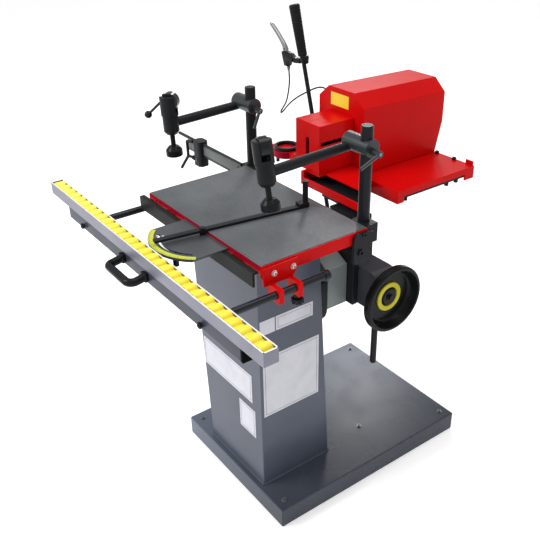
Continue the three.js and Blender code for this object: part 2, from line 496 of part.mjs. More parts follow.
// Knee, gear case, lift screw, X way and the rail that steadies the lever's foot
const knY0 = wbY1 + gap;
put('knee', add(box(knX0, knX1, knY0, knY0 + knPlateT, knZ0, knZ1),
  box(knX0, gcX0 - gap, knY0, knY1, knZ0, knShelfZ),
  box(xwX0, gcX0 - gap, knY0, csY1, knZ0, knZ1),
  box(gcX0 - rimT, xwX1, knY0, csY1, gcZ1 + gap, knZ1)), 0x1d1f23);
put('gear_case', prism('y', [[gcX0, knZ0], [gcX1, knZ0],
  ...arc(gcX1 - gcRound, gcZ1 - gcRound, gcRound, 0, 90, 6), [gcX0, gcZ1]],
  knY0 + knPlateT + gap, gcY1), GREY);
put('lift_screw', add(barZ_(scrX, scrY, scrZ0 + rimT, knZ0 - gap, scrR, round),
  barZ_(scrX, scrY, scrZ0, scrZ0 + rimT, scrR * 0.6, round, scrR)), BLACK, 0.4, 0.45);
const xwZ0 = knZ1 + gap, xwZ1 = xwZ0 + xwH, xwNeck = xwH * 0.45;
put('x_way', prism('x', [[xwY0 + xwNeck, xwZ0], [xwY1 - xwNeck, xwZ0], [xwY1, xwZ1], [xwY0, xwZ1]], xwX0,
  xwX1), BLACK, 0.5, 0.4);
put('reaction_rail', cut(box(rrX0, rrX1, knY1 + gap, knY1 + gap + rrD, rrZ0, rrZ0 + rrH),
  box(rrX0 + rrFloor, rrX1 - rrFloor, lvY - rrSlot / 2, lvY + rrSlot / 2, rrZ0 + rrFloor,
    rrZ0 + rrH + gap)), BLACK);

// Handwheel: dished disc with a rim, turning about X, and its yellow ring
const wx0 = gcX1 + gap, wf = whX + whT / 2;
const wfloor = whX - whT / 2 - gap * 10, webX = wfloor + whWeb / 2 - whDish / 4;
put('handwheel', turned([[wx0, 0], [wx0, whHubR], [webX - whWeb, whHubR + rimT],
  [webX - whWeb, whR - whRim - whWeb],
  [whX - whT / 2, whR - rimT], [whX - whT / 2 + rimT, whR], [wf - rimT, whR], [wf, whR - rimT],
  [wf, whR - whRim], [webX + whWeb, whR - whRim - whWeb], [webX, whR - whRim - whWeb * 2],
    [webX, ringIn - gap],
  [webX + whWeb, ringIn - gap - rimT], [webX + whWeb, 0]], whY, whZ), BLACK, 0.2, 0.35);
const rx0 = webX + gap;
put('wheel_ring', turned([[rx0, ringIn], [rx0, ringOut], [rx0 + ringT, ringOut - 1],
  [rx0 + ringT, ringIn + 1], [rx0, ringIn]],
  whY, whZ, round), YELLOW, 0, 0.5);

// Cross slide with the Y way on it
const csZ0 = xwZ1 - xwH * 0.6, csFloor = xwZ1 + gap, trZ0 = trTop - trH, plZ0 = plTop - plH,
  csTop = trZ0 - gap * 4;
put('cross_slide', add(cut(box(csX0, csX1, csY0, csY1, csZ0, csTop),
  prism('x', [[xwY0 + xwNeck - gap * 2, xwZ0 - gap], [xwY1 - xwNeck + gap * 2, xwZ0 - gap],
    [xwY1 + gap * 2, csFloor], [xwY0 - gap * 2, csFloor]],
    csX0 - gap, csX1 + gap)),
box(ywX0 - rimT, csX0 + gap, shelfY, csY1, csTop - shelfT, csTop),
box(ywX0 + ywFoot, ywX1 - ywFoot, shelfY, ywY1, csTop - shelfT, csTop),
prism('y', [[ywX0 + ywFoot, csTop - gap], [ywX1 - ywFoot, csTop - gap], [ywX1, csTop + ywH],
  [ywX0, csTop + ywH]], shelfY, ywY1)), 0x202226);

// Tray saddle around the Y way, with the chip pan under the raised platform
const sdZ1 = trTop - plate - gap, sdZ0 = csTop + gap * 4;
const plOutline = (i) => [[plX0 + i, plY0 + i], [plX1 - i, plY0 + i], [plX1 - i, plSideY],
  [plBackX - i, cvY0 - gap],
  [plX0 + i, cvY0 - gap]];
const panZ1 = plZ0 + panT * 3, panPts = plOutline(plate + gap * 2).map(([x, y]) => [x,
  Math.min(y, trY0 - gap)]);
put('tray_saddle', add(cut(box(sdX0, sdX1, sdY0, sdY1, sdZ0, sdZ1),
  prism('y', [[ywX0 + ywFoot - gap * 2, csTop], [ywX1 - ywFoot + gap * 2, csTop],
    [ywX1 + gap * 2, csTop + ywH + gap * 2],
    [ywX0 - gap * 2, csTop + ywH + gap * 2]], sdY0 - gap, sdY1 + gap)),
cut(prism('z', panPts, panZ1 - panT, panZ1), box(ywX0 - rimT, ywX1 + rimT, plY0, trY0, sdZ0 - gap,
  csTop + ywH + gap * 2))), 0x1b1c1f);

// Folded tray: main plate, raised platform under the guard with a chip slot, cut-out in the right apron
const trOutline = (i) => [[trX0 + i, trY0 + i], [trX1 - i, trY0 + i], [trX1 - i, trY1 - i],
  [trX0 + i, trY1 - i]];
put('motor_tray', cut(add(cut(prism('z', trOutline(0), trZ0, trTop),
  prism('z', trOutline(plate), trZ0 - plate, trTop - plate),
  box(trX1 - plate * 2, trX1 + gap, cutY0, cutY1, trZ0 - gap, trZ0 + cutH)),
cut(prism('z', plOutline(0), plZ0, plTop),
  prism('z', plOutline(plate).map(([x, y]) => [x, Math.min(y, trY0)]), plZ0 - plate, plTop - plate),
  box(plX0 + plate * 2, plX1 - plate * 2, slotFrom, slotTo, plTop - plH / 2, plTop + plate),
  box(plX0 + plate * 3, plX1 - plate * 2, plY0 - gap, slotTo, plZ0 + lipH, plTop + plate),
  box(gdX1 + plate, plX1 - plate * 2, slotFrom, slotBack, plZ0 + lipH, plTop + plate))),
box(sdX0 - gap, sdX1 + gap, trY0 - gap, trY0 + plate * 2, trZ0 - gap, sdZ1 + gap),
box(lvX - leverNotch / 2, lvX + leverNotch * 2, trY0 - gap, trY0 + plate * 2, trZ0 - gap, trTop - plate)),
  RED, 0.1, 0.35);
put('slide_rod', add(barY_(rodUnderX, trY0 + plate + gap, trY1 - plate - gap,
  trZ0 + cutH - rodUnderR - gap, rodUnderR, 12),
  ...rodPegs.map((y) => barZ_(rodUnderX, y, trZ0 - rimT / 2, trZ0 + cutH - rodUnderR, rodUnderR, 12))),
    BLACK);

// Chuck guard: box of sheet, open behind and below, with the cutter slot and a side slot
const gdZ0 = plTop + gap, gdR = gdSlotW / 2, gdY1 = cvY0 - gap;
put('chuck_guard', cut(box(gdX0, gdX1, gdY0, gdY1, gdZ0, gdZ1),
  box(gdX0 + sheet, gdX1 - sheet, gdY0 + sheet, gdY1 + gap, gdZ0 - gap, gdZ1 - sheet),
  prism('y', [[spX - gdR, gdSlotZ0], [spX + gdR, gdSlotZ0], ...arc(spX, gdSlotZ1 - gdR, gdR, 0, 180, 8)],
    gdY0 - gap, gdY0 + sheet + gap),
  box(gdX1 - sheet - gap, gdX1 + gap, gdSideY0, gdSideY1, gdSideZ0, gdSideZ1)), RED, 0.1, 0.3);

// Motor cover: eight-sided front, back leaning in below, open at the bottom
const cvZ0 = trTop + gap;
const cvFront = (i) => [[cvX0 + i, cvZ0 - (i ? sheet : 0)], [cvX1 - i, cvZ0 - (i ? sheet : 0)],
  [cvX1 - i, cvZ1 - cvChZ - i / 3],
  [cvX1 - cvChX - i / 3, cvZ1 - i], [cvX0 + cvChX + i / 3, cvZ1 - i], [cvX0 + i, cvZ1 - cvChZ - i / 3]];
const cvSide = (i) => [[cvY0 + i, cvZ0 - (i ? sheet : 0)], [cvY1 - cvBack - i, cvZ0 - (i ? sheet : 0)],
  [cvY1 - i, cvBackZ],
  [cvY1 - i, cvZ1 + cvFall], [cvY0 + i, cvZ1 + cvFall]];
const cvFront2 = (i) => cvFront(i).map(([x, z]) => [x, z > cvBackZ ? z - cvFall : z]);
const loft = (lo, hi, y0, y1) => {
  const n = lo.length, pos = [], idx = [];
  lo.forEach(([x, z]) => pos.push(x, y0, z));
  hi.forEach(([x, z]) => pos.push(x, y1, z));
  for (let k = 1; k < n - 1; k++) idx.push(0, k, k + 1, n, n + k + 1, n + k);
  for (let k = 0; k < n; k++) { const m = (k + 1) % n; idx.push(k, n + k, n + m, k, n + m, m); }
  const g = new THREE.BufferGeometry();
  g.setAttribute('position', new THREE.Float32BufferAttribute(pos, 3));
  g.setIndex(idx);
  return solid(g);
};
const cvBody = (i) => loft(cvFront(i), cvFront2(i), cvY0 - gap,
  cvY1 + gap).intersect(prism('x', cvSide(i), cvX0 - gap, cvX1 + gap));
put('motor_cover', cut(cvBody(0), cvBody(sheet), barY_(spX, cvY0 - gap, cvY0 + sheet * 2, spZ,
  chuckR + plate, round)), RED, 0.1, 0.25);

// Motor and spindle inside
put('motor', add(barY_(spX, motY0, motY1, spZ, motR, round),
  box(spX - motR * 0.8, spX + motR * 0.8, motFootY0, motFootY1, trTop + gap, spZ - motR / 2)), 0x3c4046);
put('chuck', add(barY_(spX, chuckY0, chuckY1, spZ, chuckR, round),
  barY_(spX, chuckY0 - noseL, chuckY0, spZ, noseR, round),
  barY_(spX, chuckY1, motY0 - gap, spZ, shaftR, 16)), 0x2b2d31, 0.8, 0.3);

// Index arm with its pin on the head's left, and the ring on it
const iaZ1 = plTop, iaZ0 = iaZ1 - iaH;
put('index_arm', add(box(iaX0, plX0 - gap, iaY - iaW / 2, iaY + iaW / 2, iaZ1 - plate, iaZ1),
  box(iaX0, plX0 - gap, iaY - iaW / 2, iaY - iaW / 2 + plate, iaZ0, iaZ1),
  box(iaX0, iaX0 + plate, iaY - iaW / 2, iaY + iaW / 2, iaZ0, iaZ1),
  barZ_(ipX, iaY, iaZ1 - plate - ipL * 1.4, iaZ1 - plate / 2, ipR, 12)), RED, 0.1, 0.35);
put('index_ring', cut(barZ_(irX, iaY, iaZ1 + gap, iaZ1 + gap + irH, irR, fine),
  barZ_(irX, iaY, iaZ1, iaZ1 + irH * 2, irIn, round)), BLACK);

// Control lever: leans left, pivots on the tray's left, foot in the reaction rail
const lx = (z) => lvX + lvSlope * (z - lvZ);
const lp = (z) => V(lx(z), lvY, z);
put('lever_shaft', add(bar(lp(lvEndZ), lp(lvTopZ), lvR, 16), ball(lp(lvEndZ), lvR, 16),
  barX_(lvX - lvHubL / 2, lvX + lvHubL / 2, lvY, lvZ - rimT, lvHubR, round),
  barX_(lvX, plX0 - gap, lvY, lvZ - rimT, lvR, 16)), 0x2a2c30, 0.6, 0.35);
const g0 = lvTopZ + gap, gripTop = g0 + gripL;
put('lever_grip', add(bar(lp(g0), lp(gripTop - rimT), gripR0, round, gripR1),
  bar(lp(gripTop - rimT), lp(gripTop), gripR1, round, gripR1 * 0.8)), BLACK, 0, 0.7);

// Brake lever housing left of the grip, its blade, and the cable down to the cover
const hx0 = lx(bmZ) - bmOut, hx1 = hx0 + bmW, hz0 = bmZ - bmH / 2, hz1 = bmZ + bmH / 2;
put('brake_mount', cut(add(bar(lp(bmZ - bmH * 0.3), lp(bmZ + bmH * 0.3), bmR, round),
  box(hx0, lx(bmZ), lvY - bmD * 0.35, lvY + bmD * 0.35, bmZ - bmH * 0.22, bmZ + bmH * 0.12),
  prism('z', rounded(hx0, hx1, lvY - bmD / 2, lvY + bmD / 2, bmD / 4, 3), hz0, hz1),
  barZ_(hx0 + bmW * 0.55, lvY, hz0 - bmAdj, hz0, rimT, 12)),
bar(lp(bmZ - bmH * 2), lp(bmZ + bmH * 2), lvR + gap, 16)), BLACK, 0.3, 0.5);
const bladeZ = hz1 + gap;
put('brake_lever', prism('y', [[hx0 + bmW * 0.1, bladeZ], [hx0 + bmW * 0.5, bladeZ],
  [hx0 + bmW * 0.1, bladeZ + bladeUp * 0.42],
  [hx0 - bladeOut * 0.9, bladeZ + bladeUp], [hx0 - bladeOut, bladeZ + bladeUp * 0.93],
    [hx0 - bladeOut * 0.2, bladeZ + bladeUp * 0.32]],
lvY - bladeW / 2, lvY + bladeW / 2), 0xc9ccd0, 0.9, 0.25);
const cx0 = hx0 + bmW * 0.55, cz0 = hz0 - bmAdj - gap;
put('brake_cable', tube([[cx0, lvY, cz0], [cx0, lvY + cabBack * 0.1, cz0 - cabDrop * 0.33],
  [cx0 - cabLeft * 0.35, lvY + cabBack * 0.25, cz0 - cabDrop * 0.72],
  [cx0 - cabLeft * 0.92, lvY + cabBack * 0.35, cz0 - cabDrop * 0.985],
    [cx0 - cabLeft * 0.85, lvY + cabBack * 0.4, cz0 - cabDrop * 1.01],
  [cx0 - cabLeft * 0.1, lvY + cabBack * 0.5, cz0 - cabDrop * 0.75],
    [cx0 + cabLeft * 0.8, lvY + cabBack * 0.9, cz0 - cabDrop * 0.52],
  [cvX0 - cabOut, cvY0 + cabIn * 0.5, cvZ1 - cvChZ * 0.8],
    [cvX0 - cableR - gap, cvY0 + cabIn, cvZ1 - cvChZ * 1.6]], cableR, 8, 64), BLACK);

export default group;
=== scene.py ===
"""Looks of the slot mortiser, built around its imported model.

Everything is in metres in the model's own frame: +X is the operator's right, +Y points away
from the operator and +Z is up, with the origin on the floor under the middle of the base.
"""

from __future__ import annotations

import json
import logging
import math
from dataclasses import dataclass, field
from enum import Enum
from typing import Iterable, Sequence

import bmesh
import bpy
from mathutils import Matrix, Vector

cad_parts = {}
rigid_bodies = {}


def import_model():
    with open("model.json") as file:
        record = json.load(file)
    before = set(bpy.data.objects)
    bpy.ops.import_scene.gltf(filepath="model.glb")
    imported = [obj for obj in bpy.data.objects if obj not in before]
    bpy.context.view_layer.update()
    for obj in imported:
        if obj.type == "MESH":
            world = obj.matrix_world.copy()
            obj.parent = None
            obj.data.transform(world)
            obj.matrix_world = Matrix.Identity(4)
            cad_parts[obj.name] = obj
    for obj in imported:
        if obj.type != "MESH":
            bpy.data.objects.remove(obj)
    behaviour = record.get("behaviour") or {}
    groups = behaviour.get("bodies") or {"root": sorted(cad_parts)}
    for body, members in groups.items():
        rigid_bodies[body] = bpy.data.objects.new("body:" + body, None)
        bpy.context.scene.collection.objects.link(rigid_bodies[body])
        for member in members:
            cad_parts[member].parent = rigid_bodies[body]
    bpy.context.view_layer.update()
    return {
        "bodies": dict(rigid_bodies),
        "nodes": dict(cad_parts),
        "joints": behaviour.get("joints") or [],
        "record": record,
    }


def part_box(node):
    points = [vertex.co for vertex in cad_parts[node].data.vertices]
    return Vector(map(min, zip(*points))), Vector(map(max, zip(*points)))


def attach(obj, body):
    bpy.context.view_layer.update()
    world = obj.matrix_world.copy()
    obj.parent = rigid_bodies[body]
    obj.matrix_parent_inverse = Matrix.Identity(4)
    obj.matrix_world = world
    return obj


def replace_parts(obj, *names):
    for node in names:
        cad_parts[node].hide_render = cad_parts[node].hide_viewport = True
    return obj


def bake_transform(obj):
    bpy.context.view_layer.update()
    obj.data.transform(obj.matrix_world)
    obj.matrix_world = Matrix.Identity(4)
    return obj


log = logging.getLogger("slot_mortiser")
FULL_TURN = 2 * math.pi
PROUD = 0.0002
X_AXIS, Y_AXIS, Z_AXIS = Vector((1, 0, 0)), Vector((0, 1, 0)), Vector((0, 0, 1))
Colour = tuple[float, float, float]
Socket = bpy.types.NodeSocket
Mesh = bmesh.types.BMesh
Item = bpy.types.Object
Profile = Sequence[tuple[float, float]]


class Slot(Enum):
    """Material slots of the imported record."""

    GREY_PAINT = "grey_paint"
    RED_PAINT = "red_paint"
    TABLE_STEEL = "table_steel"
    BLACK_IRON = "black_iron"
    BLACK_STEEL = "black_steel"
    BARE_STEEL = "bare_steel"
    RAIL_ALUMINIUM = "rail_aluminium"
    YELLOW_PLASTIC = "yellow_plastic"
    BLACK_PLASTIC = "black_plastic"
    BLACK_RUBBER = "black_rubber"
    WHEEL_IRON = "wheel_iron"
    MOTOR_BODY = "motor_body"
    BRAKE_ALLOY = "brake_alloy"


class Side(Enum):
    """Right or left of the operator, with the sign of its X."""

    RIGHT = 1
    LEFT = -1

    @property
    def word(self) -> str:
        """The side's name as it ends a node's name."""
        return self.name.lower()


class ShaderBench:
    """Builds one material's nodes on Object coordinates."""

    def __init__(self, name: str) -> None:
        """Starts an empty material with a principled surface.

        Args:
            name: Name of the material.
        """
        self.material = bpy.data.materials.new(name)
        self.material.use_nodes = True
        self.tree = self.material.node_tree
        self.surface = self.tree.nodes["Principled BSDF"]
        self.coords = self.tree.nodes.new("ShaderNodeTexCoord").outputs["Object"]

    def put(self, **values: object) -> None:
        """Sets sockets of the surface; an underscore stands for a space."""
        for key, value in values.items():
            self.surface.inputs[key.replace("_", " ")].default_value = value

    def link(self, source: Socket, target: str) -> None:
        """Joins a socket to the surface's socket of that name."""
        self.tree.links.new(source, self.surface.inputs[target])

    def stretched(self, scale: Sequence[float]) -> Socket:
        """Object coordinates multiplied along each axis.

        Args:
            scale: Factor along X, Y and Z.

        Returns:
            The mapped coordinates.
        """
        mapping = self.tree.nodes.new("ShaderNodeMapping")
        mapping.inputs["Scale"].default_value = scale
        self.tree.links.new(self.coords, mapping.inputs["Vector"])
        return mapping.outputs["Vector"]

    def noise(self, per_metre: float, detail: float, rough: float = 0.55,
              vector: Socket | None = None) -> Socket:
        """Cloudy noise.

        Args:
            per_metre: Lumps in a metre.
            detail: Octaves of detail.
            rough: Strength of the fine octaves.
            vector: Coordinates, or the plain Object coordinates.

        Returns:
            The noise factor.
        """
        node = self.tree.nodes.new("ShaderNodeTexNoise")
        node.inputs["Scale"].default_value = per_metre
        node.inputs["Detail"].default_value = detail
        node.inputs["Roughness"].default_value = rough
        self.tree.links.new(vector or self.coords, node.inputs["Vector"])
        return node.outputs["Fac"]

    def spread(self, value: Socket, low: float, high: float, start: float = 0.3,
               end: float = 0.7) -> Socket:
        """Maps a factor from start and end to low and high.

        Args:
            value: The factor.
            low: Result at start.
            high: Result at end.
            start: Lower end of the factor.
            end: Upper end of the factor.

        Returns:
            The mapped value.
        """
        node = self.tree.nodes.new("ShaderNodeMapRange")
        for key, number in (("From Min", start), ("From Max", end), ("To Min", low), ("To Max", high)):
            node.inputs[key].default_value = number
        self.tree.links.new(value, node.inputs["Value"])
        return node.outputs["Result"]

    def along_x(self) -> Socket:
        """The X of the Object coordinates.

        Returns:
            The X in metres.
        """
        node = self.tree.nodes.new("ShaderNodeSeparateXYZ")
        self.tree.links.new(self.coords, node.inputs["Vector"])
        return node.outputs["X"]

    def blend(self, factor: Socket, first: Colour | Socket, second: Colour | Socket) -> Socket:
        """Mixes two colours, each a tuple or a socket.

        Args:
            factor: Share of the second colour.
            first: Colour at 0.
            second: Colour at 1.

        Returns:
            The mixed colour.
        """
        node = self.tree.nodes.new("ShaderNodeMix")
        node.data_type = "RGBA"
        self.tree.links.new(factor, node.inputs["Factor"])
        for socket, colour in ((node.inputs[6], first), (node.inputs[7], second)):
            if isinstance(colour, tuple):
                socket.default_value = (*colour, 1.0)
            else:
                self.tree.links.new(colour, socket)
        return node.outputs[2]

    def bump(self, height: Socket, strength: float, depth: float) -> None:
        """Presses a height factor into the surface's normal.

        Args:
            height: The factor.
            strength: How strongly it shows.
            depth: Height of a full step in metres.
        """
        node = self.tree.nodes.new("ShaderNodeBump")
        node.inputs["Strength"].default_value = strength
        node.inputs["Distance"].default_value = depth
        self.tree.links.new(height, node.inputs["Height"])
        self.link(node.outputs["Normal"], "Normal")


@dataclass(frozen=True)
class Finish:
    """What each finish shares: its name, its slot and the two colours that it mixes."""

    name: str
    slot: Slot
    colour: Colour
    shade: Colour

    def make(self) -> bpy.types.Material:
        """Makes the finish as a Blender material; each kind of finish says how."""
        raise NotImplementedError


@dataclass(frozen=True)
class Paint(Finish):
    """Sprayed or powder-coated paint: soft colour clouds, orange peel and a thin film of dust.

    With its fade along X set, the clouds give way to one slow change of colour along X, from colour to
    shade, which paints light and shade into the colour.
    """

    dust: Colour
    roughness: float = 0.35
    peel_per_metre: float = 420.0
    peel_strength: float = 0.05
    peel_depth: float = 0.0001
    dust_amount: float = 0.1
    film_per_metre: float = 14.0
    cloud_per_metre: float = 5.0
    fade_x: tuple[float, float] | None = None
    shine: float = 0.2

    def make(self) -> bpy.types.Material:
        """Makes the paint as a material.

        Returns:
            The Blender material.
        """
        bench = ShaderBench(self.name)
        clouds = bench.spread(bench.noise(self.cloud_per_metre, 4.0), 0.0, 1.0)
        if self.fade_x is not None:
            clouds = bench.spread(bench.along_x(), 0.0, 1.0, *self.fade_x)
        body = bench.blend(clouds, self.colour, self.shade)
        film = bench.noise(self.film_per_metre, 3.0, 0.5)
        dusting = bench.spread(film, 0.0, self.dust_amount, 0.45, 0.8)
        bench.link(bench.blend(dusting, body, self.dust), "Base Color")
        bench.link(bench.spread(film, self.roughness * 0.92, min(1.0, self.roughness * 1.12)), "Roughness")
        bench.put(Specular_IOR_Level=self.shine)
        bench.bump(bench.noise(self.peel_per_metre, 2.0), self.peel_strength, self.peel_depth)
        return bench.material


@dataclass(frozen=True)
class Metal(Finish):
    """Machined, ground or blackened metal with streaks along one axis."""

    roughness: float = 0.35
    metallic: float = 1.0
    streak: tuple[float, float, float] = (1.0, 1.0, 1.0)
    streak_per_metre: float = 300.0
    streak_strength: float = 0.12
    streak_depth: float = 0.00005
    stain_per_metre: float = 9.0
    shine: float = 0.3

    def make(self) -> bpy.types.Material:
        """Makes the metal as a material.

        Returns:
            The Blender material.
        """
        bench = ShaderBench(self.name)
        lines = bench.noise(self.streak_per_metre, 4.0, 0.6, bench.stretched(self.streak))
        stain = bench.noise(self.stain_per_metre, 5.0, 0.6)
        bench.link(bench.blend(bench.spread(stain, 0.0, 1.0), self.colour, self.shade), "Base Color")
        bench.link(bench.spread(lines, self.roughness * 0.75, min(1.0, self.roughness * 1.3)), "Roughness")
        bench.put(Metallic=self.metallic, Specular_IOR_Level=self.shine)
        bench.bump(lines, self.streak_strength, self.streak_depth)
        return bench.material


@dataclass(frozen=True)
class Moulded(Finish):
    """Moulded plastic or rubber with a fine grain, clouded or, with its fade along X set, changing along X
    from colour to shade; that change is painted light.
    """

    roughness: float = 0.45
    grain_per_metre: float = 900.0
    grain_strength: float = 0.1
    grain_depth: float = 0.0001
    cloud_per_metre: float = 14.0
    glow: float = 0.0
    shine: float = 0.2
    fade_x: tuple[float, float] | None = None

    def make(self) -> bpy.types.Material:
        """Makes the plastic or rubber as a material.

        Returns:
            The Blender material.
        """
        bench = ShaderBench(self.name)
        cloud = bench.noise(self.cloud_per_metre, 3.0)
        share = bench.spread(cloud, 0.0, 1.0)
        if self.fade_x is not None:
            share = bench.spread(bench.along_x(), 0.0, 1.0, *self.fade_x)
        bench.link(bench.blend(share, self.colour, self.shade), "Base Color")
        bench.link(bench.spread(cloud, self.roughness * 0.9, min(1.0, self.roughness * 1.15)), "Roughness")
        bench.put(Specular_IOR_Level=self.shine, Subsurface_Weight=self.glow)
        bench.bump(bench.noise(self.grain_per_metre, 2.0), self.grain_strength, self.grain_depth)
        return bench.material


@dataclass(frozen=True)
class Film(Finish):
    """Printed film of a bare sticker, slightly uneven where it is stuck down."""

    roughness: float = 0.3
    cloud_per_metre: float = 22.0
    wave_per_metre: float = 60.0
    wave_strength: float = 0.02
    wave_depth: float = 0.0003
    shine: float = 0.25

    def make(self) -> bpy.types.Material:
        """Makes the film as a material.

        Returns:
            The Blender material.
        """
        bench = ShaderBench(self.name)
        cloud = bench.noise(self.cloud_per_metre, 4.0)
        bench.link(bench.blend(bench.spread(cloud, 0.0, 1.0), self.colour, self.shade), "Base Color")
        bench.link(bench.spread(cloud, self.roughness * 0.8, self.roughness * 1.3), "Roughness")
        bench.put(Specular_IOR_Level=self.shine)
        bench.bump(bench.noise(self.wave_per_metre, 2.0), self.wave_strength, self.wave_depth)
        return bench.material


SLATE = Paint("slate_grey_paint", Slot.GREY_PAINT, (0.076, 0.089, 0.124), (0.054, 0.064, 0.089),
              (0.11, 0.12, 0.14), roughness=0.3, shine=0.3, dust_amount=0.12, peel_strength=0.012)
# Base paint: lighter on the left and darker to the right along X; the change is painted shade on the
# base's right part.
BASE_SLATE_PAINTED_SHADE = Paint("base_slate_paint", Slot.GREY_PAINT, (0.114, 0.135, 0.176), (0.039, 0.046, 0.061),
                   (0.11, 0.12, 0.135), roughness=0.26, shine=0.17, dust_amount=0.1, peel_strength=0.012,
                   fade_x=(-0.25, 0.24))
SIGNAL_RED = Paint("signal_red_paint", Slot.RED_PAINT, (0.54, 0.0025, 0.0025), (0.48, 0.002, 0.0025),
                   (0.6, 0.02, 0.015), roughness=0.3, shine=0.06, peel_strength=0.06, dust_amount=0.02)
CRIMSON = Paint("crimson_paint", Slot.RED_PAINT, (0.33, 0.002, 0.016), (0.28, 0.002, 0.014),
                (0.4, 0.02, 0.03), roughness=0.34, shine=0.06, dust_amount=0.02)
SATIN_BLACK = Paint("satin_black_paint", Slot.BLACK_IRON, (0.01, 0.011, 0.013), (0.016, 0.017, 0.019),
                    (0.03, 0.032, 0.034), roughness=0.36, shine=0.1, peel_strength=0.05)
OLIVE_BLACK = Paint("olive_black_paint", Slot.BLACK_STEEL, (0.011, 0.0125, 0.0115), (0.016, 0.018, 0.016),
                    (0.04, 0.04, 0.036), roughness=0.38, shine=0.05)
GROUND_STEEL = Metal("ground_table_steel", Slot.TABLE_STEEL, (0.108, 0.117, 0.126), (0.058, 0.064, 0.069),
                     roughness=0.46, metallic=0.22, streak=(0.25, 1.0, 1.0), streak_per_metre=420.0,
                     streak_strength=0.04, stain_per_metre=5.5)
PROTRACTOR_STEEL = Metal("protractor_steel", Slot.TABLE_STEEL, (0.088, 0.094, 0.104), (0.066, 0.07, 0.08),
                         roughness=0.38, metallic=0.5, streak=(1.0, 0.2, 1.0))
BLACKENED = Metal("blackened_steel", Slot.BLACK_STEEL, (0.016, 0.017, 0.02), (0.012, 0.0125, 0.014),
                  roughness=0.36, metallic=0.3, streak=(1.0, 1.0, 0.3), streak_per_metre=420.0,
                  streak_strength=0.03, shine=0.12)
GLOSS_BLACK = Metal("gloss_black", Slot.BLACK_STEEL, (0.007, 0.0075, 0.009), (0.005, 0.0055, 0.0065),
                    roughness=0.16, metallic=0.2, streak_strength=0.02, shine=0.3)
BLACK_BAR = Metal("blackened_bar", Slot.BLACK_STEEL, (0.014, 0.015, 0.021), (0.01, 0.011, 0.014),
                  roughness=0.26, metallic=0.4, streak=(1.0, 0.08, 1.0), shine=0.4)
# Charcoal cast iron, its colour lightened to carry a painted sheen.
CAST_PAINTED_SHEEN = Metal("cast_charcoal", Slot.BLACK_STEEL, (0.042, 0.048, 0.052), (0.028, 0.032, 0.035),
                   roughness=0.32, metallic=0.5, streak_per_metre=500.0, streak_strength=0.03, shine=0.5)
STOP_ROD = Metal("stop_rod_steel", Slot.BARE_STEEL, (0.028, 0.029, 0.03), (0.02, 0.021, 0.022),
                 roughness=0.3, metallic=0.3, streak=(0.1, 1.0, 1.0), shine=0.25)
STOP_PLATE = Paint("stop_plate_paint", Slot.BARE_STEEL, (0.12, 0.14, 0.13), (0.09, 0.105, 0.1),
                   (0.2, 0.21, 0.2), roughness=0.4)
BRIGHT = Metal("bright_steel", Slot.BARE_STEEL, (0.74, 0.74, 0.75), (0.58, 0.58, 0.6), roughness=0.34,
               metallic=0.7)
TURNED = Metal("turned_steel", Slot.BARE_STEEL, (0.14, 0.145, 0.15), (0.1, 0.104, 0.11), roughness=0.35,
               metallic=0.7, streak=(0.1, 1.0, 1.0))
ANODISED = Metal("anodised_rail", Slot.RAIL_ALUMINIUM, (0.21, 0.213, 0.262), (0.17, 0.172, 0.212),
                 roughness=0.36, metallic=0.4, streak=(0.05, 1.0, 1.0), streak_per_metre=500.0)
# Near-white strips on the channel's wall tops: a painted highlight.
RAIL_EDGE_HIGHLIGHT = Metal("cut_rail_edge", Slot.RAIL_ALUMINIUM, (0.88, 0.88, 0.9), (0.78, 0.78, 0.82),
                 roughness=0.3, metallic=0.3, streak=(0.05, 1.0, 1.0), streak_per_metre=500.0)
BEAM_GREY = Paint("beam_grey_paint", Slot.RAIL_ALUMINIUM, (0.04, 0.046, 0.066), (0.031, 0.036, 0.052),
                  (0.07, 0.078, 0.095), roughness=0.34, shine=0.15, peel_strength=0.012)
# Roller yellow: pale lemon at the left end, deeper golden to the right; the pale left end is a painted
# highlight.
ROLLER_YELLOW = Moulded("roller_yellow", Slot.YELLOW_PLASTIC, (0.9, 0.86, 0.1), (0.88, 0.7, 0.03),
                        roughness=0.32, glow=0.03, shine=0.45, fade_x=(-0.36, 0.1))
# Carrier yellow, darker than the rollers: painted shade in the gaps between them.
CARRIER_SHADE_YELLOW = Moulded("carrier_yellow", Slot.YELLOW_PLASTIC, (0.8, 0.68, 0.06), (0.74, 0.6, 0.05),
                         roughness=0.4, shine=0.3)
SCALE_YELLOW = Film("scale_yellow", Slot.YELLOW_PLASTIC, (0.52, 0.56, 0.045), (0.46, 0.49, 0.035),
                    roughness=0.35)
RING_YELLOW = Moulded("ring_yellow", Slot.YELLOW_PLASTIC, (0.56, 0.5, 0.015), (0.46, 0.41, 0.015),
                      roughness=0.4)
BLACK_PLASTIC = Moulded("black_plastic", Slot.BLACK_PLASTIC, (0.007, 0.0075, 0.0085),
                        (0.011, 0.0115, 0.013), roughness=0.24, grain_strength=0.06, shine=0.1)
DEEP_BLACK = Moulded("deep_black", Slot.BLACK_PLASTIC, (0.002, 0.002, 0.0025), (0.003, 0.003, 0.0035),
                     roughness=0.6, grain_strength=0.05, shine=0.02)
BLACK_RUBBER = Moulded("black_rubber", Slot.BLACK_RUBBER, (0.009, 0.009, 0.01), (0.014, 0.014, 0.015),
                       roughness=0.5, grain_per_metre=500.0, grain_strength=0.12, shine=0.07)
WHEEL_BLACK = Paint("wheel_enamel", Slot.WHEEL_IRON, (0.0045, 0.005, 0.0055), (0.007, 0.0075, 0.008),
                    (0.015, 0.015, 0.016), roughness=0.22, shine=0.12, peel_strength=0.05,
                    dust_amount=0.03)
